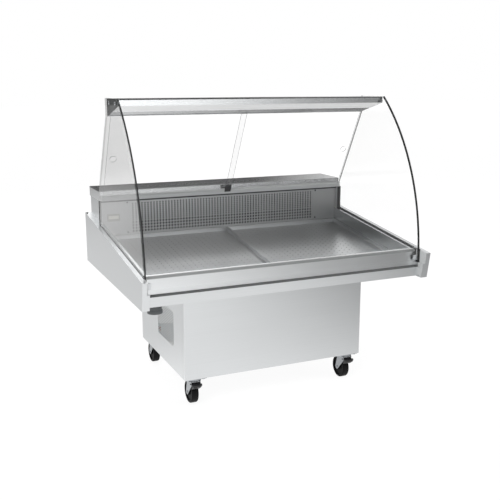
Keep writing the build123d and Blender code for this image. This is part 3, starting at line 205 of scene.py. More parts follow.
@surface
def brushed_stainless(tree, place, tone, grain, rough, bump=0.02, mark=0.1, cloudy=0.4):
    """Satin stainless sheet: soft light drawn out along the brushing and a faint cloud from handling.

    The real brushing lies about 0.2 mm apart, too fine to show, so it is drawn 3 mm apart."""
    lines = streaks(tree, place, [500 if axis == grain else 3 for axis in "XYZ"])
    cloud = streaks(tree, place, [350, 350, 250], 1.0)
    pattern = add(tree, "ShaderNodeMix", {"Factor": cloudy, "A": lines, "B": cloud})
    dark, light = toned(tone, 1 - mark), toned(tone, 1 + 0.6 * mark)
    return finish(tree, pattern, dark, light, rough, bump, Metallic=1.0)


@surface
def stainless_with_painted_shade_inside(tree, place, tone):
    """Satin stainless sheet painted charcoal on its inside, round the evaporator: painted shade that darkens
    what shows through the air panel's holes.
    """
    lines = streaks(tree, place, [500, 3, 3])
    bare = finish(tree, lines, toned(tone, 0.9), toned(tone, 1.06), (0.24, 0.4), 0.02, Metallic=1.0)
    grit = streaks(tree, place, [10] * 3)
    painted_shade = finish(tree, grit, linear("#151617"), linear("#232425"), (0.6, 0.75), 0.1, IOR=1.5)
    # The box inside the riser, round the evaporator, that takes the painted shade
    middle, half_depth, half_width = 382.3 * MM, 92.9 * MM, 619.2 * MM
    parts = add(tree, "ShaderNodeSeparateXYZ", {0: place}).outputs
    depth = add(tree, "ShaderNodeMath", {0: parts["Y"], 1: middle, 2: half_depth}, operation="COMPARE")
    width = add(tree, "ShaderNodeMath", {0: parts["X"], 1: 0.0, 2: half_width}, operation="COMPARE")
    inside = add(tree, "ShaderNodeMath", {0: depth, 1: width}, operation="MULTIPLY")
    return add(tree, "ShaderNodeMixShader", {0: inside, 1: bare, 2: painted_shade})


@surface
def galvanised_steel(tree, place):
    """Hot dip galvanised tube: flat grey with a spangle of crystals about 12 mm across."""
    crystals = add(tree, "ShaderNodeTexVoronoi", {"Vector": place, "Scale": 1 / (12.5 * MM)}, feature="F1")
    spangle = add(tree, "ShaderNodeSeparateColor", {"Color": crystals.outputs["Color"]}).outputs["Red"]
    return finish(tree, spangle, linear("#85898c"), linear("#b2b6b9"), (0.35, 0.55), 0, Metallic=1.0)


@surface
def anodised_aluminium(tree, place, dark, light, rough):
    """Natural anodised aluminium: silvery, even, with faint drawing lines along its length."""
    lines = streaks(tree, place, [600, 2, 2])
    return finish(tree, lines, linear(dark), linear(light), rough, 0, Metallic=1.0)


@surface
def coated_fins(tree, place, dark, light):
    """Epoxy coated coil: dull, with fins drawn 6 mm apart that break up the light."""
    fins = streaks(tree, place, [6, 80, 80])
    return finish(tree, fins, linear(dark), linear(light), (0.5, 0.65), 0.3, IOR=1.5)


@surface
def moulded_plastic(tree, place, dark, light, rough):
    """Moulded plastic or pressed fleece: a fine grit, drawn 2 mm wide to show, that breaks up the gloss."""
    grit = streaks(tree, place, [2] * 3)
    cloud = streaks(tree, place, [80] * 3)
    pattern = add(tree, "ShaderNodeMix", {"Factor": 0.4, "A": grit, "B": cloud})
    return finish(tree, pattern, linear(dark), linear(light), rough, 0.06, IOR=1.5)


@surface
def rubber(tree, place, dark, light, index=1.52):
    """Extruded or moulded rubber: dull, with a dusty bloom in patches."""
    grit = streaks(tree, place, [30, 3, 3])
    bloom = streaks(tree, place, [120] * 3)
    pattern = add(tree, "ShaderNodeMix", {"Factor": 0.5, "A": grit, "B": bloom})
    return finish(tree, pattern, dark, light, (0.5, 0.72), 0.08, IOR=index)


@surface
def smooth_skin(tree, place, dark, light, rough):
    """Stoved enamel or a smooth plastic plate: an even colour under slight orange peel about 3 mm across."""
    peel = streaks(tree, place, [3] * 3, 1.0)
    return finish(tree, peel, linear(dark), linear(light), rough, 0.05, IOR=1.5)


@surface
def copper_lagged_and_painted_shade(tree, place):
    """Drawn copper dulled brown in patches about 40 mm across, and black above 500 mm under the evaporator:
    foam lagging, which is also painted shade that hides the pipes behind the air panel's holes.
    """
    # Above this height the copper is black: lagging, and painted shade inside the riser
    lagged_and_shaded_from = 500 * MM
    patch = streaks(tree, place, [40] * 3)
    bare = finish(tree, patch, linear("#8a4f33"), linear("#d08a63"), (0.25, 0.5), 0.02, Metallic=1.0)
    lagging_and_painted_shade = finish(tree, patch, linear("#171718"), linear("#262627"), (0.7, 0.85), 0.2, IOR=1.5)
    height = add(tree, "ShaderNodeSeparateXYZ", {0: place}).outputs["Z"]
    above = add(tree, "ShaderNodeMath", {0: height, 1: lagged_and_shaded_from}, operation="GREATER_THAN")
    return add(tree, "ShaderNodeMixShader", {0: above, 1: bare, 2: lagging_and_painted_shade})


@surface
def foam_block(tree, place):
    """Foamed polyurethane: pale yellow with cells, drawn 6 mm across so that they show."""
    cells = add(tree, "ShaderNodeTexVoronoi", {"Vector": place, "Scale": 1 / (6.25 * MM)}, feature="F1")
    pattern = cells.outputs["Distance"]
    return finish(tree, pattern, linear("#c9b98a"), linear("#efe4bd"), (0.8, 0.95), 0.5)


@surface
def zinc_plate(tree, place, dark="#a3a6a9", light="#d4d7da", rough=(0.22, 0.4)):
    """Zinc plated steel: bluish silver with soft stains about 15 mm across."""
    stain = streaks(tree, place, [15] * 3)
    return finish(tree, stain, linear(dark), linear(light), rough, 0.03, Metallic=1.0)


@surface
def opal_acrylic(tree, place):
    """Opal acrylic diffuser: white, lifted by a painted glow from a faint emission, with ribs along it 8 mm
    apart.
    """
    scale = pi / 10 / (7.854 * MM)
    ribs = add(tree, "ShaderNodeTexWave", {"Vector": place, "Scale": scale}, bands_direction="Y")
    # The emission is a painted glow that brightens the diffuser's white
    return finish(tree, ribs.outputs["Fac"], linear("#eceeee"), linear("#fafbfb"), (0.25, 0.35), 0.2,
                  Emission_Color=linear("#ffffff"), Emission_Strength=0.45)


@surface
def solder_mask(tree, place):
    """White solder mask: matt white with faint darker conductor lines 24 mm apart."""
    scale = pi / 10 / (24.166 * MM)
    tracks = add(tree, "ShaderNodeTexWave", {"Vector": place, "Scale": scale}, bands_direction="Y")
    return finish(tree, tracks.outputs["Fac"], linear("#dcdcd6"), linear("#f2f2ee"), (0.4, 0.5), 0)


@surface
def clear_glass(tree, place, tone, edge, side, ground_share=0.5, mirror_share=1.8):
    """Clear toughened glass: nearly colourless through its face, mirroring more at a slant, with grey edges.

    side is the axis across the sheet, so faces that look another way are ground edges, and they hide
    ground_share of what is behind. Only the face where a ray enters mirrors, and it stands for both: it
    mirrors mirror_share times what a single face would."""
    edge_turn = 0.3
    shape = add(tree, "ShaderNodeNewGeometry").outputs
    silver = {"Base Color": linear("#ffffff"), "Roughness": 0.0, "Metallic": 1.0}
    mirror = add(tree, "ShaderNodeBsdfPrincipled", silver)
    through = add(tree, "ShaderNodeBsdfTransparent", {"Color": tone})
    slant = add(tree, "ShaderNodeFresnel", {"IOR": 1.5})
    entry = add(tree, "ShaderNodeMix", {"Factor": shape["Backfacing"], "A": mirror_share, "B": 0.0})
    shine = add(tree, "ShaderNodeMath", {0: slant, 1: entry}, operation="MULTIPLY", use_clamp=True)
    pane = add(tree, "ShaderNodeMixShader", {0: shine, 1: through, 2: mirror})
    drift = streaks(tree, place, [400] * 3, 1.0)
    ground = finish(tree, drift, toned(edge, 0.8), edge, (0.3, 0.4), 0, IOR=1.5)
    across = add(tree, "ShaderNodeVectorMath", {0: shape["Normal"], 1: side}, operation="DOT_PRODUCT")
    flat = add(tree, "ShaderNodeMath", {0: across.outputs["Value"]}, operation="ABSOLUTE")
    turned = add(tree, "ShaderNodeMath", {0: flat, 1: edge_turn}, operation="LESS_THAN")
    rim = add(tree, "ShaderNodeMath", {0: turned, 1: ground_share}, operation="MULTIPLY")
    return add(tree, "ShaderNodeMixShader", {0: rim, 1: pane, 2: ground})


def ray_level(tree, lit, seen, reflected):
    """The light level for each kind of ray: what lights the object, what the eye sees and what metal mirrors.

    Two panes take about a sixth of what is seen through them, and pane_gain evens that out."""
    pane_gain = 1.2
    path = add(tree, "ShaderNodeLightPath").outputs
    glazed, bounced = (add(tree, "ShaderNodeMath", {0: path[title], 1: 1.0}, operation="MINIMUM")
                       for title in ("Transparent Depth", "Glossy Depth"))
    shown = add(tree, "ShaderNodeMix", {"Factor": glazed, "A": seen, "B": pane_gain * seen})
    plain = add(tree, "ShaderNodeMix", {"Factor": path["Is Camera Ray"], "A": lit, "B": shown})
    return add(tree, "ShaderNodeMix", {"Factor": bounced, "A": plain, "B": reflected})


def surroundings(tree, way):
    """What metal mirrors in a direction: a bright screen all round, dimmer in four stretches and overhead."""
    bright, overhead, behind_drop = 1.9, 0.3, -0.6
    parts = add(tree, "ShaderNodeSeparateXYZ", {0: way}).outputs
    ahead = add(tree, "ShaderNodeMath", {0: parts["Y"], 1: -1.0}, operation="MULTIPLY")
    bearing = add(tree, "ShaderNodeMath", {0: parts["X"], 1: ahead}, operation="ARCTAN2")
    behind = (parts["Y"], 0.1, 0.6, 0.0, 1.0)
    front_right = eased(tree, (bearing, radians(14), radians(35), 0.0, 1.0),
                        (bearing, radians(60), radians(100), 1.0, 0.0))
    low_behind = eased(tree, behind, (parts["Z"], 0.22, 0.42, 1.0, 0.0), (parts["X"], 0.4, 0.52, 1.0, 0.3))
    front_left = eased(tree, (bearing, radians(-25), 0.0, 1.0, 0.0),
                       (bearing, radians(-120), radians(-80), 0.0, 1.0))
    right_behind = eased(tree, behind, (parts["X"], 0.3, 0.5, 0.0, 1.0))
    dimmed = ((front_right, 0.116), (low_behind, 0.05), (front_left, 0.4), (right_behind, 0.6))
    screen = bright
    for stretch, share in dimmed:
        dimmer = add(tree, "ShaderNodeMix", {"Factor": stretch, "A": 1.0, "B": share})
        screen = add(tree, "ShaderNodeMath", {0: screen, 1: dimmer}, operation="MULTIPLY")
    lowered = {0: eased(tree, behind), 1: behind_drop, 2: parts["Z"]}
    height = add(tree, "ShaderNodeMath", lowered, operation="MULTIPLY_ADD")
    above = eased(tree, (height, 0.05, 0.35, 0.0, 1.0))
    return add(tree, "ShaderNodeMix", {"Factor": above, "A": screen, "B": overhead})


@surface
def studio_paper(tree, place):
    """White studio paper that keeps the object's shadow; metal mirrors it darker to the right and behind."""
    grain = streaks(tree, place, [800] * 3, 1.0)
    paper = finish(tree, grain, linear("#565656"), linear("#5c5c5c"), (0.9, 0.95), 0)
    parts = add(tree, "ShaderNodeSeparateXYZ", {0: place}).outputs
    near = eased(tree, (parts["X"], -0.3, 2.3, 1.12, 0.05), (parts["Y"], -0.2, 0.8, 1.0, 0.67),
                 (parts["Y"], -1.8, -0.9, 1.0, 0.92), (parts["Y"], -0.9, -0.3, 1.0, 1.1))
    distance = add(tree, "ShaderNodeVectorMath", {0: place}, operation="LENGTH").outputs["Value"]
    far = eased(tree, (distance, 4.0, 10.0, 0.0, 1.0))
    way = add(tree, "ShaderNodeVectorMath", {0: place}, operation="NORMALIZE")
    reflected = add(tree, "ShaderNodeMix", {"Factor": far, "A": near, "B": surroundings(tree, way)})
    level = ray_level(tree, lit=0.25, seen=0.9, reflected=reflected)
    glow = add(tree, "ShaderNodeEmission", {"Color": linear("#ffffff"), "Strength": level})
    return add(tree, "ShaderNodeAddShader", {0: paper, 1: glow})


def dress(names, material):
    """Gives CAD nodes a material."""
    for name in names:
        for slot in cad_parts[name].material_slots:
            slot.material = material


def new_piece(name, mesh, body, material, replaces=()):
    """Makes a finished mesh a piece of a body."""
    mesh.name = name
    mesh.materials.clear()
    mesh.materials.append(material)
    mesh.shade_flat()
    piece = bpy.data.objects.new(name, mesh)
    bpy.context.scene.collection.objects.link(piece)
    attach(piece, body)
    if replaces:
        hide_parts(*replaces)


def written(work, mesh):
    """Writes a bmesh to a mesh, with its faces pointing outwards."""
    bmesh.ops.recalc_face_normals(work, faces=work.faces)
    work.to_mesh(mesh)
    work.free()
    return mesh


def mesh_of(work):
    """Ends a bmesh as a new mesh without doubled points."""
    bmesh.ops.remove_doubles(work, verts=work.verts, dist=1e-6)
    return written(work, bpy.data.meshes.new("piece"))


def soften(work, verts, width, segments=2):
    """Rounds the edges between some vertices."""
    inside = set(verts)
    edges = [e for e in work.edges if inside.issuperset(e.verts)]
    bmesh.ops.bevel(work, geom=edges, offset=width, segments=segments, profile=0.5, affect="EDGES")


def sweep(work, stations, closed=False):
    """Joins rings of points, one at each station along a path, into a closed bar, and gives its vertices."""
    rings = [[work.verts.new(p) for p in ring] for ring in stations]
    count = len(rings[0])
    for near, far in zip(rings, rings[1:] + rings[:1] if closed else rings[1:]):
        for i in range(count):
            work.faces.new((near[i], near[(i + 1) % count], far[(i + 1) % count], far[i]))
    if not closed:
        work.faces.new(rings[0][::-1])
        work.faces.new(rings[-1])
    return [vert for ring in rings for vert in ring]


def rectangle(low, high):
    """A rectangle's outline between two corners."""
    return [low, (high[0], low[1]), high, (low[0], high[1])]


def mirrored(span, outline):
    """A bar and its mirror image on the other side of the case."""
    return [([side * x for x in span], outline) for side in SIDES]


def bar_piece(name, bars, body, material, edge=0):
    """Makes a piece of bars along X, each a span and an outline in Y and Z, with round edges, all in mm."""
    work = bmesh.new()
    for span, outline in bars:
        verts = sweep(work, [[(x * MM, y * MM, z * MM) for y, z in outline] for x in span])
        bmesh.ops.recalc_face_normals(work, faces=work.faces)
        if edge:
            soften(work, verts, edge * MM)
    new_piece(name, mesh_of(work), body, material)


def domed_head(radius, height, socket, shank, grip):
    """A round domed head with a six sided socket on a plain shank, along Z from its seat."""
    work = bmesh.new()
    count = 18
    rings = ((shank, -grip), (shank, 0), (radius, 0), (radius, 0.35 * height), (0.82 * radius, 0.8 * height),
             (0.5 * radius, height))
    rounds = [2 * pi * i / count for i in range(count)]
    loops = [[work.verts.new((r * cos(a), r * sin(a), z)) for a in rounds] for r, z in rings]
    mouth, floor = ([work.verts.new((socket * cos(a), socket * sin(a), z)) for a in rounds[::3]]
                    for z in (height, 0.3 * height))
    for near, far in zip(loops, loops[1:]):
        for i in range(count):
            work.faces.new((near[i], near[(i + 1) % count], far[(i + 1) % count], far[i]))
    for k in range(6):
        following = (k + 1) % 6
        arc = [loops[-1][(3 * k + n) % count] for n in range(4)]
        work.faces.new((*arc, mouth[following], mouth[k]))
        work.faces.new((mouth[k], mouth[following], floor[following], floor[k]))
    work.faces.new(floor)
    work.faces.new(loops[0][::-1])
    return mesh_of(work)


def hex_bolt(radius, height, shank, grip):
    """A hexagon bolt head and its nut on a shank, along Z from the head's seat to the nut's."""
    work = bmesh.new()
    chamfer = 0.5 * MM
    for start in (0, -grip - height):
        place = Matrix.Translation((0, 0, start + height / 2))
        verts = bmesh.ops.create_cone(work, cap_ends=True, segments=6, radius1=radius, radius2=radius,
                                      depth=height, matrix=place)["verts"]
        soften(work, verts, chamfer, 1)
    bmesh.ops.create_cone(work, cap_ends=True, segments=12, radius1=shank, radius2=shank, depth=grip,
                          matrix=Matrix.Translation((0, 0, -grip / 2)))
    return mesh_of(work)


def well_floor(y):
    """Height of the well's floor at a depth."""
    return WELL_HEIGHT + (y - WELL_FRONT) * WELL_SLOPE


def evaluated(mesh, group, inputs):
    """The plain mesh that a node group makes from a mesh, with its named inputs set."""
    carrier = bpy.data.objects.new("carrier", mesh)
    bpy.context.scene.collection.objects.link(carrier)
    modifier = carrier.modifiers.new("nodes", "NODES")
    modifier.node_group = group
    for item in group.interface.items_tree:
        if item.name in inputs:
            modifier[item.identifier] = inputs[item.name]
    bpy.context.view_layer.update()
    made = bpy.data.meshes.new_from_object(carrier.evaluated_get(bpy.context.evaluated_depsgraph_get()))
    carrier.modifiers.remove(modifier)
    bpy.data.objects.remove(carrier)
    return made


def start_group(name, sockets):
    """A geometry node group with named inputs, and those inputs."""
    group = bpy.data.node_groups.new(name, "GeometryNodeTree")
    group.interface.new_socket("Geometry", in_out="OUTPUT", socket_type="NodeSocketGeometry")
    for title, kind in sockets.items():
        group.interface.new_socket(title, in_out="INPUT", socket_type="NodeSocket" + kind)
    return group, add(group, "NodeGroupInput").outputs


def end_group(group, geometry, material):
    """Ends a group: its instances become real and take their material."""
    real = add(group, "GeometryNodeRealizeInstances", {"Geometry": geometry})
    dressed = add(group, "GeometryNodeSetMaterial", {"Geometry": real, "Material": material})
    add(group, "NodeGroupOutput", {"Geometry": dressed})


def perforated_sheet():
    """A group that makes a flat sheet, its top face centred on the origin, with a hole at every point."""
    group, given = start_group("perforated_sheet", {"Geometry": "Geometry", "Width": "Float",
                                                    "Depth": "Float", "Thickness": "Float",
                                                    "Material": "Material"})
    size = add(group, "GeometryNodeInputNamedAttribute", {"Name": "radius"}, data_type="FLOAT")
    circle = add(group, "GeometryNodeCurvePrimitiveCircle", {"Resolution": 12, "Radius": 1.0})
    holes = add(group, "GeometryNodeInstanceOnPoints", {
        "Points": given["Geometry"], "Instance": circle, "Scale": size})
    holes = add(group, "GeometryNodeRealizeInstances", {"Geometry": holes})
    outline = add(group, "GeometryNodeCurvePrimitiveQuadrilateral", {
        "Width": given["Width"], "Height": given["Depth"]})
    curves = add(group, "GeometryNodeJoinGeometry", {"Geometry": [outline, holes]})
    face = add(group, "GeometryNodeFillCurve", {"Curve": curves}, mode="TRIANGLES")
    down = add(group, "ShaderNodeMath", {0: given["Thickness"], 1: -1.0}, operation="MULTIPLY")
    drop = add(group, "ShaderNodeCombineXYZ", {"Z": down})
    pull = {"Mesh": face, "Offset": drop, "Individual": False}
    solid = add(group, "GeometryNodeExtrudeMesh", pull, mode="FACES")
    sheet = add(group, "GeometryNodeJoinGeometry", {"Geometry": [face, solid]})
    sheet = add(group, "GeometryNodeMergeByDistance", {"Geometry": sheet, "Distance": 0.01 * MM})
    end_group(group, sheet, given["Material"])
    return group


def scattered():
    """A group that sets one object at every point, its Z axis along the point's axis."""
    group, given = start_group("scattered", {"Geometry": "Geometry", "Object": "Object",
                                             "Material": "Material"})
    item = add(group, "GeometryNodeObjectInfo", {"Object": given["Object"]}).outputs["Geometry"]
    axis = add(group, "GeometryNodeInputNamedAttribute", {"Name": "axis"}, data_type="FLOAT_VECTOR")
    turn = add(group, "FunctionNodeAlignRotationToVector", {"Vector": axis}, axis="Z")
    items = add(group, "GeometryNodeInstanceOnPoints", {
        "Points": given["Geometry"], "Instance": item, "Rotation": turn})
    end_group(group, items, given["Material"])
    return group


def points_mesh(places, **marks):
    """Loose points, each with its own marks: a radius, or the axis that its item follows."""
    mesh = bpy.data.meshes.new("points")
    mesh.from_pydata(places, [], [])
    for title, values in marks.items():
        if isinstance(values[0], float):
            mesh.attributes.new(title, "FLOAT", "POINT").data.foreach_set("value", values)
        else:
            flat = [number for value in values for number in value]
            mesh.attributes.new(title, "FLOAT_VECTOR", "POINT").data.foreach_set("vector", flat)
    return mesh


def spread(count, pitch):
    """Evenly spaced places about zero."""
    return [(i - (count - 1) / 2) * pitch for i in range(count)]


def case_of(context):
    """The sizes and colours of the case."""
    return context.scene.case_sizes, context.scene.case_colours


class FinishOperator(Operator):
    """Base of the operators that dress or add pieces"""
    bl_options = {"REGISTER", "UNDO"}


class CASE_OT_sheet_metal(FinishOperator):
    """Dresses the stainless panels of the cabinet, tub, riser and canopy"""
    bl_idname = "case.sheet_metal"
    bl_label = "Sheet metal"

    def execute(self, context):
        colours = case_of(context)[1]
        tone = colours.stainless
        polish = {"bump": 0, "mark": 0.03, "cloudy": 1.0}
        dress(("cabinet_base_pan", "cabinet_front_panel", "cabinet_rear_panel", "tub_shell", "upper_fascia",
               "control_plate"), brushed_stainless("satin_stainless_lengthways", tone, "X", (0.24, 0.4)))
        dress(("cabinet_left_panel", "cabinet_right_panel", "left_side_panel", "right_side_panel"),
              brushed_stainless("satin_stainless_depthways", tone, "Y", (0.26, 0.42)))
        # The riser's inside is painted charcoal as shade behind the air panel's holes
        dress(("riser_housing",), stainless_with_painted_shade_inside("satin_stainless_lined", tone))
        dress(("canopy_housing",), brushed_stainless("polished_stainless", tone, "X", (0.13, 0.16), **polish))
        # The service top is the canopy's polished stainless taken down to 0.9: painted shade for its dark
        # mirrored look
        dress(("service_top",),
              brushed_stainless("polished_stainless_top", toned(tone, 0.9), "X", (0.13, 0.16), **polish))
        # The liner takes the greyer tone that is painted shade
        dress(("tub_liner",), brushed_stainless("bright_stainless_liner", colours.liner, "X", (0.18, 0.32)))
        return {"FINISHED"}


class CASE_OT_cooling_unit(FinishOperator):
    """Dresses the frame, the insulation and the cooling unit"""
    bl_idname = "case.cooling_unit"
    bl_label = "Cooling unit"

    def execute(self, context):
        dress(("cabinet_frame", "condenser_shroud"), galvanised_steel("galvanised_steel"))
        dress(("condenser_coil",), coated_fins("pale_coated_coil", "#cfd2d3", "#eceeef"))
        dress(("evaporator_coil",), coated_fins("charcoal_coated_coil", "#1c1d1e", "#37393b"))
        dress(("compressor", "condenser_fan_motor", "evaporator_fan_motors"),
              smooth_skin("black_enamel", "#1d1d1f", "#2a2a2c", (0.18, 0.3)))
        # The pipes are black inside the riser: lagging and painted shade
        dress(("refrigerant_pipes",), copper_lagged_and_painted_shade("drawn_copper"))
        dress(("condenser_fan", "evaporator_fan_left", "evaporator_fan_right"),
              moulded_plastic("fan_polyamide", "#2c2d2f", "#46484a", (0.4, 0.55)))
        dress(("tub_insulation",), foam_block("polyurethane_foam"))
        return {"FINISHED"}


class CASE_OT_fittings(FinishOperator):
    """Dresses the plastic and rubber fittings, the door tracks, the canopy's ends and its light"""
    bl_idname = "case.fittings"
    bl_label = "Fittings"

    def execute(self, context):
        tone = case_of(context)[1].rubber
        dress(("front_glass_hinge_blocks", "door_guide", "thermostat", "mains_gland", "power_switch"),
              moulded_plastic("black_abs", "#202022", "#363638", (0.35, 0.5)))
        dress(("upper_door_track",),
              anodised_aluminium("anodised_aluminium", "#d2d4d5", "#e6e8e9", (0.18, 0.28)))
        dress(("lower_door_track",), moulded_plastic("pale_pvc", "#cfd1d1", "#dcdede", (0.4, 0.5)))
        dress(("drain_outlet",), moulded_plastic("grey_pvc", "#5d6062", "#7b7f81", (0.35, 0.5)))
        dress(("side_glass_gaskets",), rubber("extruded_rubber", toned(tone, 0.7), toned(tone, 1.8)))
        dress(("bumper_strip",), rubber("grey_rubber", linear("#474949"), linear("#626464")))
        dress(("canopy_ends",), smooth_skin("grey_enamel", "#686a6a", "#757777", (0.35, 0.5)))
        dress(("canopy_diffuser",), opal_acrylic("opal_acrylic"))
        dress(("led_board",), solder_mask("white_solder_mask"))
        return {"FINISHED"}


class CASE_OT_glass(FinishOperator):
    """Dresses the front glass with its pivots, the side glasses and the rear doors"""
    bl_idname = "case.glass"
    bl_label = "Glass"

    def execute(self, context):
        colours = case_of(context)[1]
        tone, edge = list(colours.glass), list(colours.edge)
        sideways, forwards = (1, 0, 0), (0, -0.92, 0.39)
        leaning = (0, cos(DOOR_LEAN), sin(DOOR_LEAN))
        # The side glasses are copies of one glass set to how each is lit: the left one, tinted 0.92 and
        # mirroring less, is painted shade, and the edges hide 0.25 on the left and 0.8 on the right
        dress(("left_side_glass",), clear_glass("left_glass", toned(tone, 0.92), edge, sideways, 0.25, 1.3))
        dress(("right_side_glass",), clear_glass("right_glass", tone, edge, sideways, 0.8))
        dress(("left_rear_door", "right_rear_door"), clear_glass("door_glass", tone, edge, leaning))
        dress(("front_glass",), clear_glass("curved_glass", tone, edge, forwards))
        # The pivots' zinc is paler than the other zinc: painted light that hides their dark reflection in the
        # fascia
        dress(("front_glass_pivots",), zinc_plate("pale_zinc", "#cdd0d2", "#e8eaec", (0.45, 0.55)))
        return {"FINISHED"}


class CASE_OT_castors(FinishOperator):
    """Dresses the castors and makes the webs under the brake pedals"""
    bl_idname = "case.castors"
    bl_label = "Castors"

    def execute(self, context):
        corners = [f"{y}_{x}" for y in ("front", "rear") for x in ("left", "right")]
        # The castors' zinc is darker than the other zinc: painted shade for the castors under the cabinet
        dress(["castor_plates", *(f"castor_fork_{corner}" for corner in corners)],
              zinc_plate("castor_zinc", "#7f8285", "#aaadb0"))
        dress([f"castor_wheel_{corner}" for corner in corners],
              rubber("wheel_rubber", linear("#070708"), linear("#131314"), 1.25))
        black = moulded_plastic("pedal_polyamide", "#161617", "#2b2b2d", (0.4, 0.6))
        web = [(-291, 99), (-291, 95.2), (-268, 79), (-260, 78), (-256, 88), (-256, 96)]
        half_width = 17
        for side, pedal in zip(SIDES, ("brake_pedal_left", "brake_pedal_right")):
            dress((pedal,), black)
            span = [side * CASTOR_X - half_width, side * CASTOR_X + half_width]
            bar_piece(pedal + "_web", [(span, web)], pedal, black)
        return {"FINISHED"}


class CASE_OT_air_panel(FinishOperator):
    """Makes the perforated air panel in front of the evaporator, with small holes over large ones"""
    bl_idname = "case.air_panel"
    bl_label = "Air panel"

    def execute(self, context):
        sizes, colours = case_of(context)
        low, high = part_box("air_panel")
        middle = (low.z + high.z) / 2
        # The air panel's stainless is the liner's tone taken down to 0.72: painted shade for the panel under
        # the slab
        metal = brushed_stainless("satin_stainless_air_panel", toned(colours.liner, 0.72), "X", (0.25, 0.4))
        places, radii = [], []
        for top, rise, rows, radius in (
                (sizes.upper_top, sizes.upper_rise, sizes.upper_rows, sizes.upper_radius),
                (sizes.lower_top, sizes.lower_rise, sizes.lower_rows, sizes.lower_radius)):
            for row in range(rows):
                height = top - row * rise - middle
                places += [(x, height, 0) for x in spread(sizes.hole_columns, sizes.hole_pitch)]
            radii += [radius] * (rows * sizes.hole_columns)
        mesh = evaluated(points_mesh(places, radius=radii), perforated_sheet(), {
            "Width": high.x - low.x, "Depth": high.z - low.z, "Thickness": high.y - low.y, "Material": metal})
        mesh.transform(Matrix.Translation((0, low.y, middle)) @ Matrix.Rotation(pi / 2, 4, "X"))
        work = bmesh.new()
        work.from_mesh(mesh)
        new_piece("perforated_air_panel", written(work, mesh), "case", metal,
                  replaces=("air_panel",))
        return {"FINISHED"}


class CASE_OT_trays(FinishOperator):
    """Makes the two lift-out trays, with drain holes, hemmed lips and folded runners"""
    bl_idname = "case.trays"
    bl_label = "Trays"

    def execute(self, context):
        sizes, colours = case_of(context)
        # The trays take the liner's greyer tone, painted shade
        metal = brushed_stainless("satin_stainless_tray", list(colours.liner), "X", (0.22, 0.38))
        group = perforated_sheet()
        sheet, lip, lift, gap = 1.2 * MM, 20 * MM, 12 * MM, 0.2 * MM
        runner, inset, margin = 20 * MM, 60 * MM, 40 * MM
        hem, foot = sizes.tray_hem, sheet + lift - gap
        rim = [(0, 0), (0, lip - sheet), (hem, lip - sheet), (hem, lip - 3 * sheet),
               (hem - sheet, lip - 3 * sheet), (hem - sheet, lip - 2 * sheet), (sheet, lip - 2 * sheet),
               (sheet, 0)]
        channel = [(0, -sheet), (0, -foot), (runner, -foot), (runner, -sheet), (runner - sheet, -sheet),
                   (runner - sheet, sheet - foot), (sheet, sheet - foot), (sheet, -sheet)]
        lean = Matrix(((1, 0, 0, 0), (0, 1, 0, 0), (0, WELL_SLOPE, 1, 0), (0, 0, 0, 1)))
        for node in ("left_tray", "right_tray"):
            low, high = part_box(node)
            middle = (low + high) / 2
            width, depth = high.x - low.x, high.y - low.y
            columns, rows = (spread(int((span - margin) / sizes.drip_pitch), sizes.drip_pitch)
                             for span in (width, depth))
            places = [(x, y, 0) for x in columns for y in rows]
            pan = evaluated(points_mesh(places, radius=[sizes.drip_radius] * len(places)), group, {
                "Width": width, "Depth": depth, "Thickness": sheet, "Material": metal})
            work = bmesh.new()
            work.from_mesh(pan)
            sweep(work, [[(i * (width / 2 - x), j * (depth / 2 - x), z) for x, z in rim]
                         for i, j in rectangle((-1, -1), (1, 1))], closed=True)
            ends = (inset - depth / 2, depth / 2 - inset)
            for start in (inset - width / 2, width / 2 - inset - runner):
                sweep(work, [[(start + x, y, z) for x, z in channel] for y in ends])
            written(work, pan)
            seat = Vector((middle.x, middle.y, well_floor(middle.y) + lift + sheet))
            pan.transform(Matrix.Translation(seat) @ lean)
            new_piece(f"perforated_{node}", pan, node, metal, replaces=(node,))
        return {"FINISHED"}


class CASE_OT_edge_seals(FinishOperator):
    """Makes the seals and clips on the front glass's edges, the seal of the canopy, and a black strip at the
    air panel's top that is painted shade
    """
    bl_idname = "case.edge_seals"
    bl_label = "Edge seals"

    def execute(self, context):
        sizes, colours = case_of(context)
        # This black rubber serves the real seals and the painted-shade strip
        black = rubber("edge_seal_rubber", toned(colours.rubber, 0.5), toned(colours.rubber, 1.2))
        steel = zinc_plate("zinc_plated_steel")
        outer, inner = ARC_RADIUS + sizes.seal_wall, ARC_RADIUS - GLASS_WALL - sizes.seal_wall
        lap, rim = GLASS_HALF - sizes.seal_lap, GLASS_HALF + sizes.seal_wall
        floor = inner + sizes.seal_wall
        channel = [(lap, outer), (rim, outer), (rim, inner), (lap, inner), (lap, floor), (GLASS_HALF, floor),
                   (GLASS_HALF, ARC_RADIUS), (lap, ARC_RADIUS)]
        corner_length, clip_length = 16 * MM, 12 * MM
        clip_top = ARC_END - corner_length / ARC_RADIUS
        clip_foot = clip_top - clip_length / ARC_RADIUS
        for title, start, end, steps, slot, material in (
                ("strip", ARC_START, clip_foot, 64, "black_rubber", black),
                ("corner", clip_top, ARC_END, 4, "black_rubber", black),
                ("clip", clip_foot, clip_top, 3, "zinc_steel", steel)):
            work = bmesh.new()
            angles = [start + (end - start) * i / steps for i in range(steps + 1)]
            for side in SIDES:
                sweep(work, [[(side * x, ARC_CENTRE[0] - r * cos(a), ARC_CENTRE[1] + r * sin(a))
                              for x, r in channel] for a in angles])
            new_piece(f"glass_edge_{title}", mesh_of(work), "front_glass", material)
        canopy_seal = (-616, 616), rectangle((-106.9, 1281), (-104, 1285.5))
        # A black strip at the air panel's top, under the door track's lip: painted shade for the gap there
        panel_shade_strip = (-617, 617), rectangle((286.1, 812.8), (288, 819))
        bar_piece("canopy_seal", [canopy_seal], "case", black, 0.6)
        bar_piece("air_panel_seal", [panel_shade_strip], "case", black, 0.5)
        return {"FINISHED"}


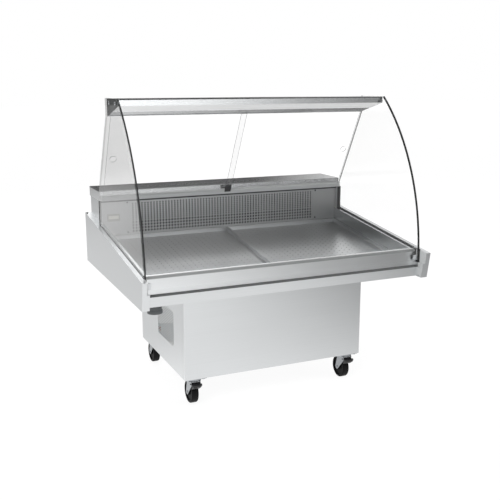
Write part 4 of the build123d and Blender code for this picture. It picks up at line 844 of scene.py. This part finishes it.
class CASE_OT_trims(FinishOperator):
    """Makes the thin trims: track lip, black slab end strips that are partly painted shade, guide cap, fascia
    trim and the covers at the ends
    """
    bl_idname = "case.trims"
    bl_label = "Trims"

    def execute(self, context):
        colours = case_of(context)[1]
        tone = list(colours.stainless)
        # This black rubber serves the fascia's end seals and the slab end strips, which are partly painted
        # shade
        black = rubber("strip_rubber", toned(colours.rubber, 0.5), toned(colours.rubber, 1.2))
        lip = (-618, 618), rectangle((254.6, 824.2), (255.7, 841))
        bar_piece("track_lip", [lip], "case",
                  brushed_stainless("satin_stainless_lip", tone, "X", (0.5, 0.6)), 0.4)
        # Black strips on the slab's ends: end seals, and partly painted shade along the end edges
        end_shade_strips = mirrored((619.5, 624), rectangle((278.4, 866.4), (479.6, 867.05)))
        bar_piece("slab_end_strips", end_shade_strips, "case", black)
        along, across = (-sin(DOOR_LEAN), cos(DOOR_LEAN)), (-cos(DOOR_LEAN), -sin(DOOR_LEAN))
        cap = [[foot + u * a + n * b for foot, a, b in zip(DOOR_FOOT, along, across)]
               for u, n in rectangle((35, 9.2), (46, 11.6))]
        bar_piece("guide_cap", [((-20, 7), cap)], "case",
                  moulded_plastic("grey_abs", "#3a3c3d", "#4b4d4e", (0.4, 0.55)))
        trim = [(-408.4, 617), (-406.9, 627.5), (-399, 627.5), (-399, 626.3), (-404.9, 626.3),
                (-406.4, 617)]
        bar_piece("fascia_trim", [((-619, 619), trim)], "case",
                  rubber("grey_trim_rubber", linear("#7b7d7d"), linear("#8f9191")))
        gasket_covers = mirrored((631, 631.6), rectangle((266.4, 717), (278, 823)))
        bar_piece("trim_covers", gasket_covers, "case",
                  brushed_stainless("satin_stainless_trim", tone, "Z", (0.25, 0.4)), 0.2)
        panel_end = (619.3, 619.95), [(-459.6, 509.5), (-434.5, 509.5), (-434.5, 570.5), (-470.2, 570.5)]
        hinge_side = (627.6, 630.9), [(-470.4, 571.2), (-433, 571.2), (-433, 626), (-479, 620.4)]
        hinge_foot = (620.5, 627.6), [(-470.2, 571), (-433, 571), (-433, 571.6), (-470.3, 571.6)]
        hinge_back = (622.4, 628.3), rectangle((-412.9, 587), (-412.2, 629))
        covers = []
        for cover in (panel_end, hinge_side, hinge_foot, hinge_back):
            covers += mirrored(*cover)
        bar_piece("end_covers", covers, "case",
                  smooth_skin("pale_enamel", "#c2c4c5", "#cccece", (0.35, 0.45)))
        fascia_ends = mirrored((612.6, 619.2), [(-412.3, 586), (-405.6, 627), (-404.6, 627), (-411.3, 586)])
        bar_piece("fascia_ends", fascia_ends, "case", black)
        return {"FINISHED"}


class CASE_OT_filter_pads(FinishOperator):
    """Makes the fleece filter pads behind the left grille"""
    bl_idname = "case.filter_pads"
    bl_label = "Filter pads"

    def execute(self, context):
        upper = [(-150, 396), (-150, 342), (86, 274), (86, 396)]
        lower = [(-150, 228), (-150, 256), (-40, 228)]
        bar_piece("filter_pads", [((-420.5, -417.5), pad) for pad in (upper, lower)], "case",
                  moulded_plastic("white_fleece", "#e3e4e2", "#f2f3f1", (0.8, 0.95)))
        return {"FINISHED"}


class CASE_OT_screws(FinishOperator):
    """Makes the screws and bolts"""
    bl_idname = "case.screws"
    bl_label = "Screws"

    def execute(self, context):
        group = scattered()
        steel = zinc_plate("zinc_plated_steel")
        blackened = zinc_plate("blackened_steel", "#232425", "#343536", (0.35, 0.5))
        screw = domed_head(radius=4 * MM, height=2 * MM, socket=1.6 * MM, shank=2 * MM, grip=4 * MM)
        glass_bolt = domed_head(radius=7 * MM, height=2.5 * MM, socket=2.6 * MM, shank=3.5 * MM, grip=11 * MM)
        castor_bolt = hex_bolt(radius=7.5 * MM, height=5.3 * MM, shank=4 * MM, grip=5 * MM)
        inwards = [(-1 if place[0] > 0 else 1, 0, 0) for place in PANEL_SCREWS]
        outwards = [(1 if place[0] > 0 else -1, 0, 0) for place in GLASS_BOLTS]
        panel_kinds = [(screw, AIR_SCREWS, [(0, -1, 0)] * len(AIR_SCREWS))]
        other_kinds = [(screw, PANEL_SCREWS, inwards), (glass_bolt, GLASS_BOLTS, outwards),
                       (castor_bolt, CASTOR_BOLTS, [(0, 0, -1)] * len(CASTOR_BOLTS))]
        for title, kinds, material, replaced in (("panel_fasteners", panel_kinds, blackened, ()),
                                                 ("fasteners", other_kinds, steel, ("screws",))):
            work = bmesh.new()
            for shape, places, axes in kinds:
                pattern = bpy.data.objects.new("pattern", shape)
                inputs = {"Object": pattern, "Material": material}
                work.from_mesh(evaluated(points_mesh(places, axis=axes), group, inputs))
                bpy.data.objects.remove(pattern)
            mesh = bpy.data.meshes.new(title)
            new_piece(title, written(work, mesh), "case", material, replaces=replaced)
        return {"FINISHED"}


class CASE_OT_thermometer_plate(FinishOperator):
    """Makes the small bare plate on the air panel"""
    bl_idname = "case.thermometer_plate"
    bl_label = "Thermometer plate"

    def execute(self, context):
        plate = (-590, -531), rectangle((285.2, 723), (287.8, 758))
        strip = (-584, -537), rectangle((284.6, 734), (285.4, 749))
        bar_piece("thermometer_plate", [plate], "case",
                  smooth_skin("pale_grey_polycarbonate", "#80807b", "#8c8c87", (0.35, 0.45)), 0.8)
        bar_piece("thermometer_strip", [strip], "case",
                  smooth_skin("cream_polycarbonate", "#b4b4aa", "#c2c2b8", (0.25, 0.35)), 0.3)
        return {"FINISHED"}


class CASE_OT_stage(FinishOperator):
    """Sets the floor, the light and the camera"""
    bl_idname = "case.stage"
    bl_label = "Stage"

    def execute(self, context):
        scene = context.scene
        scene.view_settings.view_transform = "Standard"
        self.light_world(scene)
        self.lay_floor(scene)
        for title, (place, aim, power) in LAMPS.items():
            lamp = bpy.data.lights.new(title, "AREA")
            lamp.size, lamp.energy = LAMP_WIDTH, power
            holder = bpy.data.objects.new(title, lamp)
            holder.location = place
            holder.rotation_euler = (Vector(aim) - Vector(place)).to_track_quat("-Z", "Y").to_euler()
            holder.visible_glossy = False
            holder.visible_transmission = False
            scene.collection.objects.link(holder)
        camera = bpy.data.cameras.new("camera")
        camera.lens, camera.sensor_width = CAMERA_LENS, CAMERA_SENSOR
        eye = bpy.data.objects.new("camera", camera)
        eye.location, eye.rotation_euler = CAMERA_PLACE, CAMERA_TURN
        scene.collection.objects.link(eye)
        scene.camera = eye
        return {"FINISHED"}

    def light_world(self, scene):
        """White where it is seen, a softer white light on the object, and the screens that metal mirrors."""
        world = bpy.data.worlds.new("studio")
        world.use_nodes = True
        tree = world.node_tree
        tree.nodes.clear()
        way = add(tree, "ShaderNodeTexCoord").outputs["Generated"]
        level = ray_level(tree, lit=0.55, seen=1.0, reflected=surroundings(tree, way))
        sky = add(tree, "ShaderNodeBackground", {"Color": linear("#ffffff"), "Strength": level})
        add(tree, "ShaderNodeOutputWorld", {"Surface": sky})
        scene.world = world

    def lay_floor(self, scene):
        """Lays the floor's paper under the object and far round it."""
        reach = 40.0
        work = bmesh.new()
        bmesh.ops.create_grid(work, x_segments=1, y_segments=1, size=reach)
        floor = bpy.data.objects.new("floor", mesh_of(work))
        floor.data.materials.append(studio_paper("studio_paper"))
        scene.collection.objects.link(floor)


OPERATORS = (CASE_OT_sheet_metal, CASE_OT_cooling_unit, CASE_OT_fittings, CASE_OT_glass, CASE_OT_castors,
             CASE_OT_air_panel, CASE_OT_trays, CASE_OT_edge_seals, CASE_OT_trims, CASE_OT_filter_pads,
             CASE_OT_screws, CASE_OT_thermometer_plate, CASE_OT_stage)


class CASE_PT_finishes(Panel):
    """Lists the case's finishing steps, sizes and colours"""
    bl_idname = "CASE_PT_finishes"
    bl_label = "Display case"
    bl_space_type = "VIEW_3D"
    bl_region_type = "UI"
    bl_category = "Display case"

    def draw(self, context):
        for group in case_of(context):
            for name in group.__annotations__:
                self.layout.prop(group, name)
        for operator in OPERATORS:
            self.layout.operator(operator.bl_idname)


CLASSES = (CaseSizes, CaseColours, *OPERATORS, CASE_PT_finishes)


def register():
    for item in CLASSES:
        bpy.utils.register_class(item)
    bpy.types.Scene.case_sizes = PointerProperty(type=CaseSizes)
    bpy.types.Scene.case_colours = PointerProperty(type=CaseColours)


def unregister():
    del bpy.types.Scene.case_sizes
    del bpy.types.Scene.case_colours
    for item in reversed(CLASSES):
        bpy.utils.unregister_class(item)


def main():
    register()
    for operator in OPERATORS:
        getattr(bpy.ops.case, operator.bl_idname.split(".")[1])()


if __name__ == "__main__":
    main()
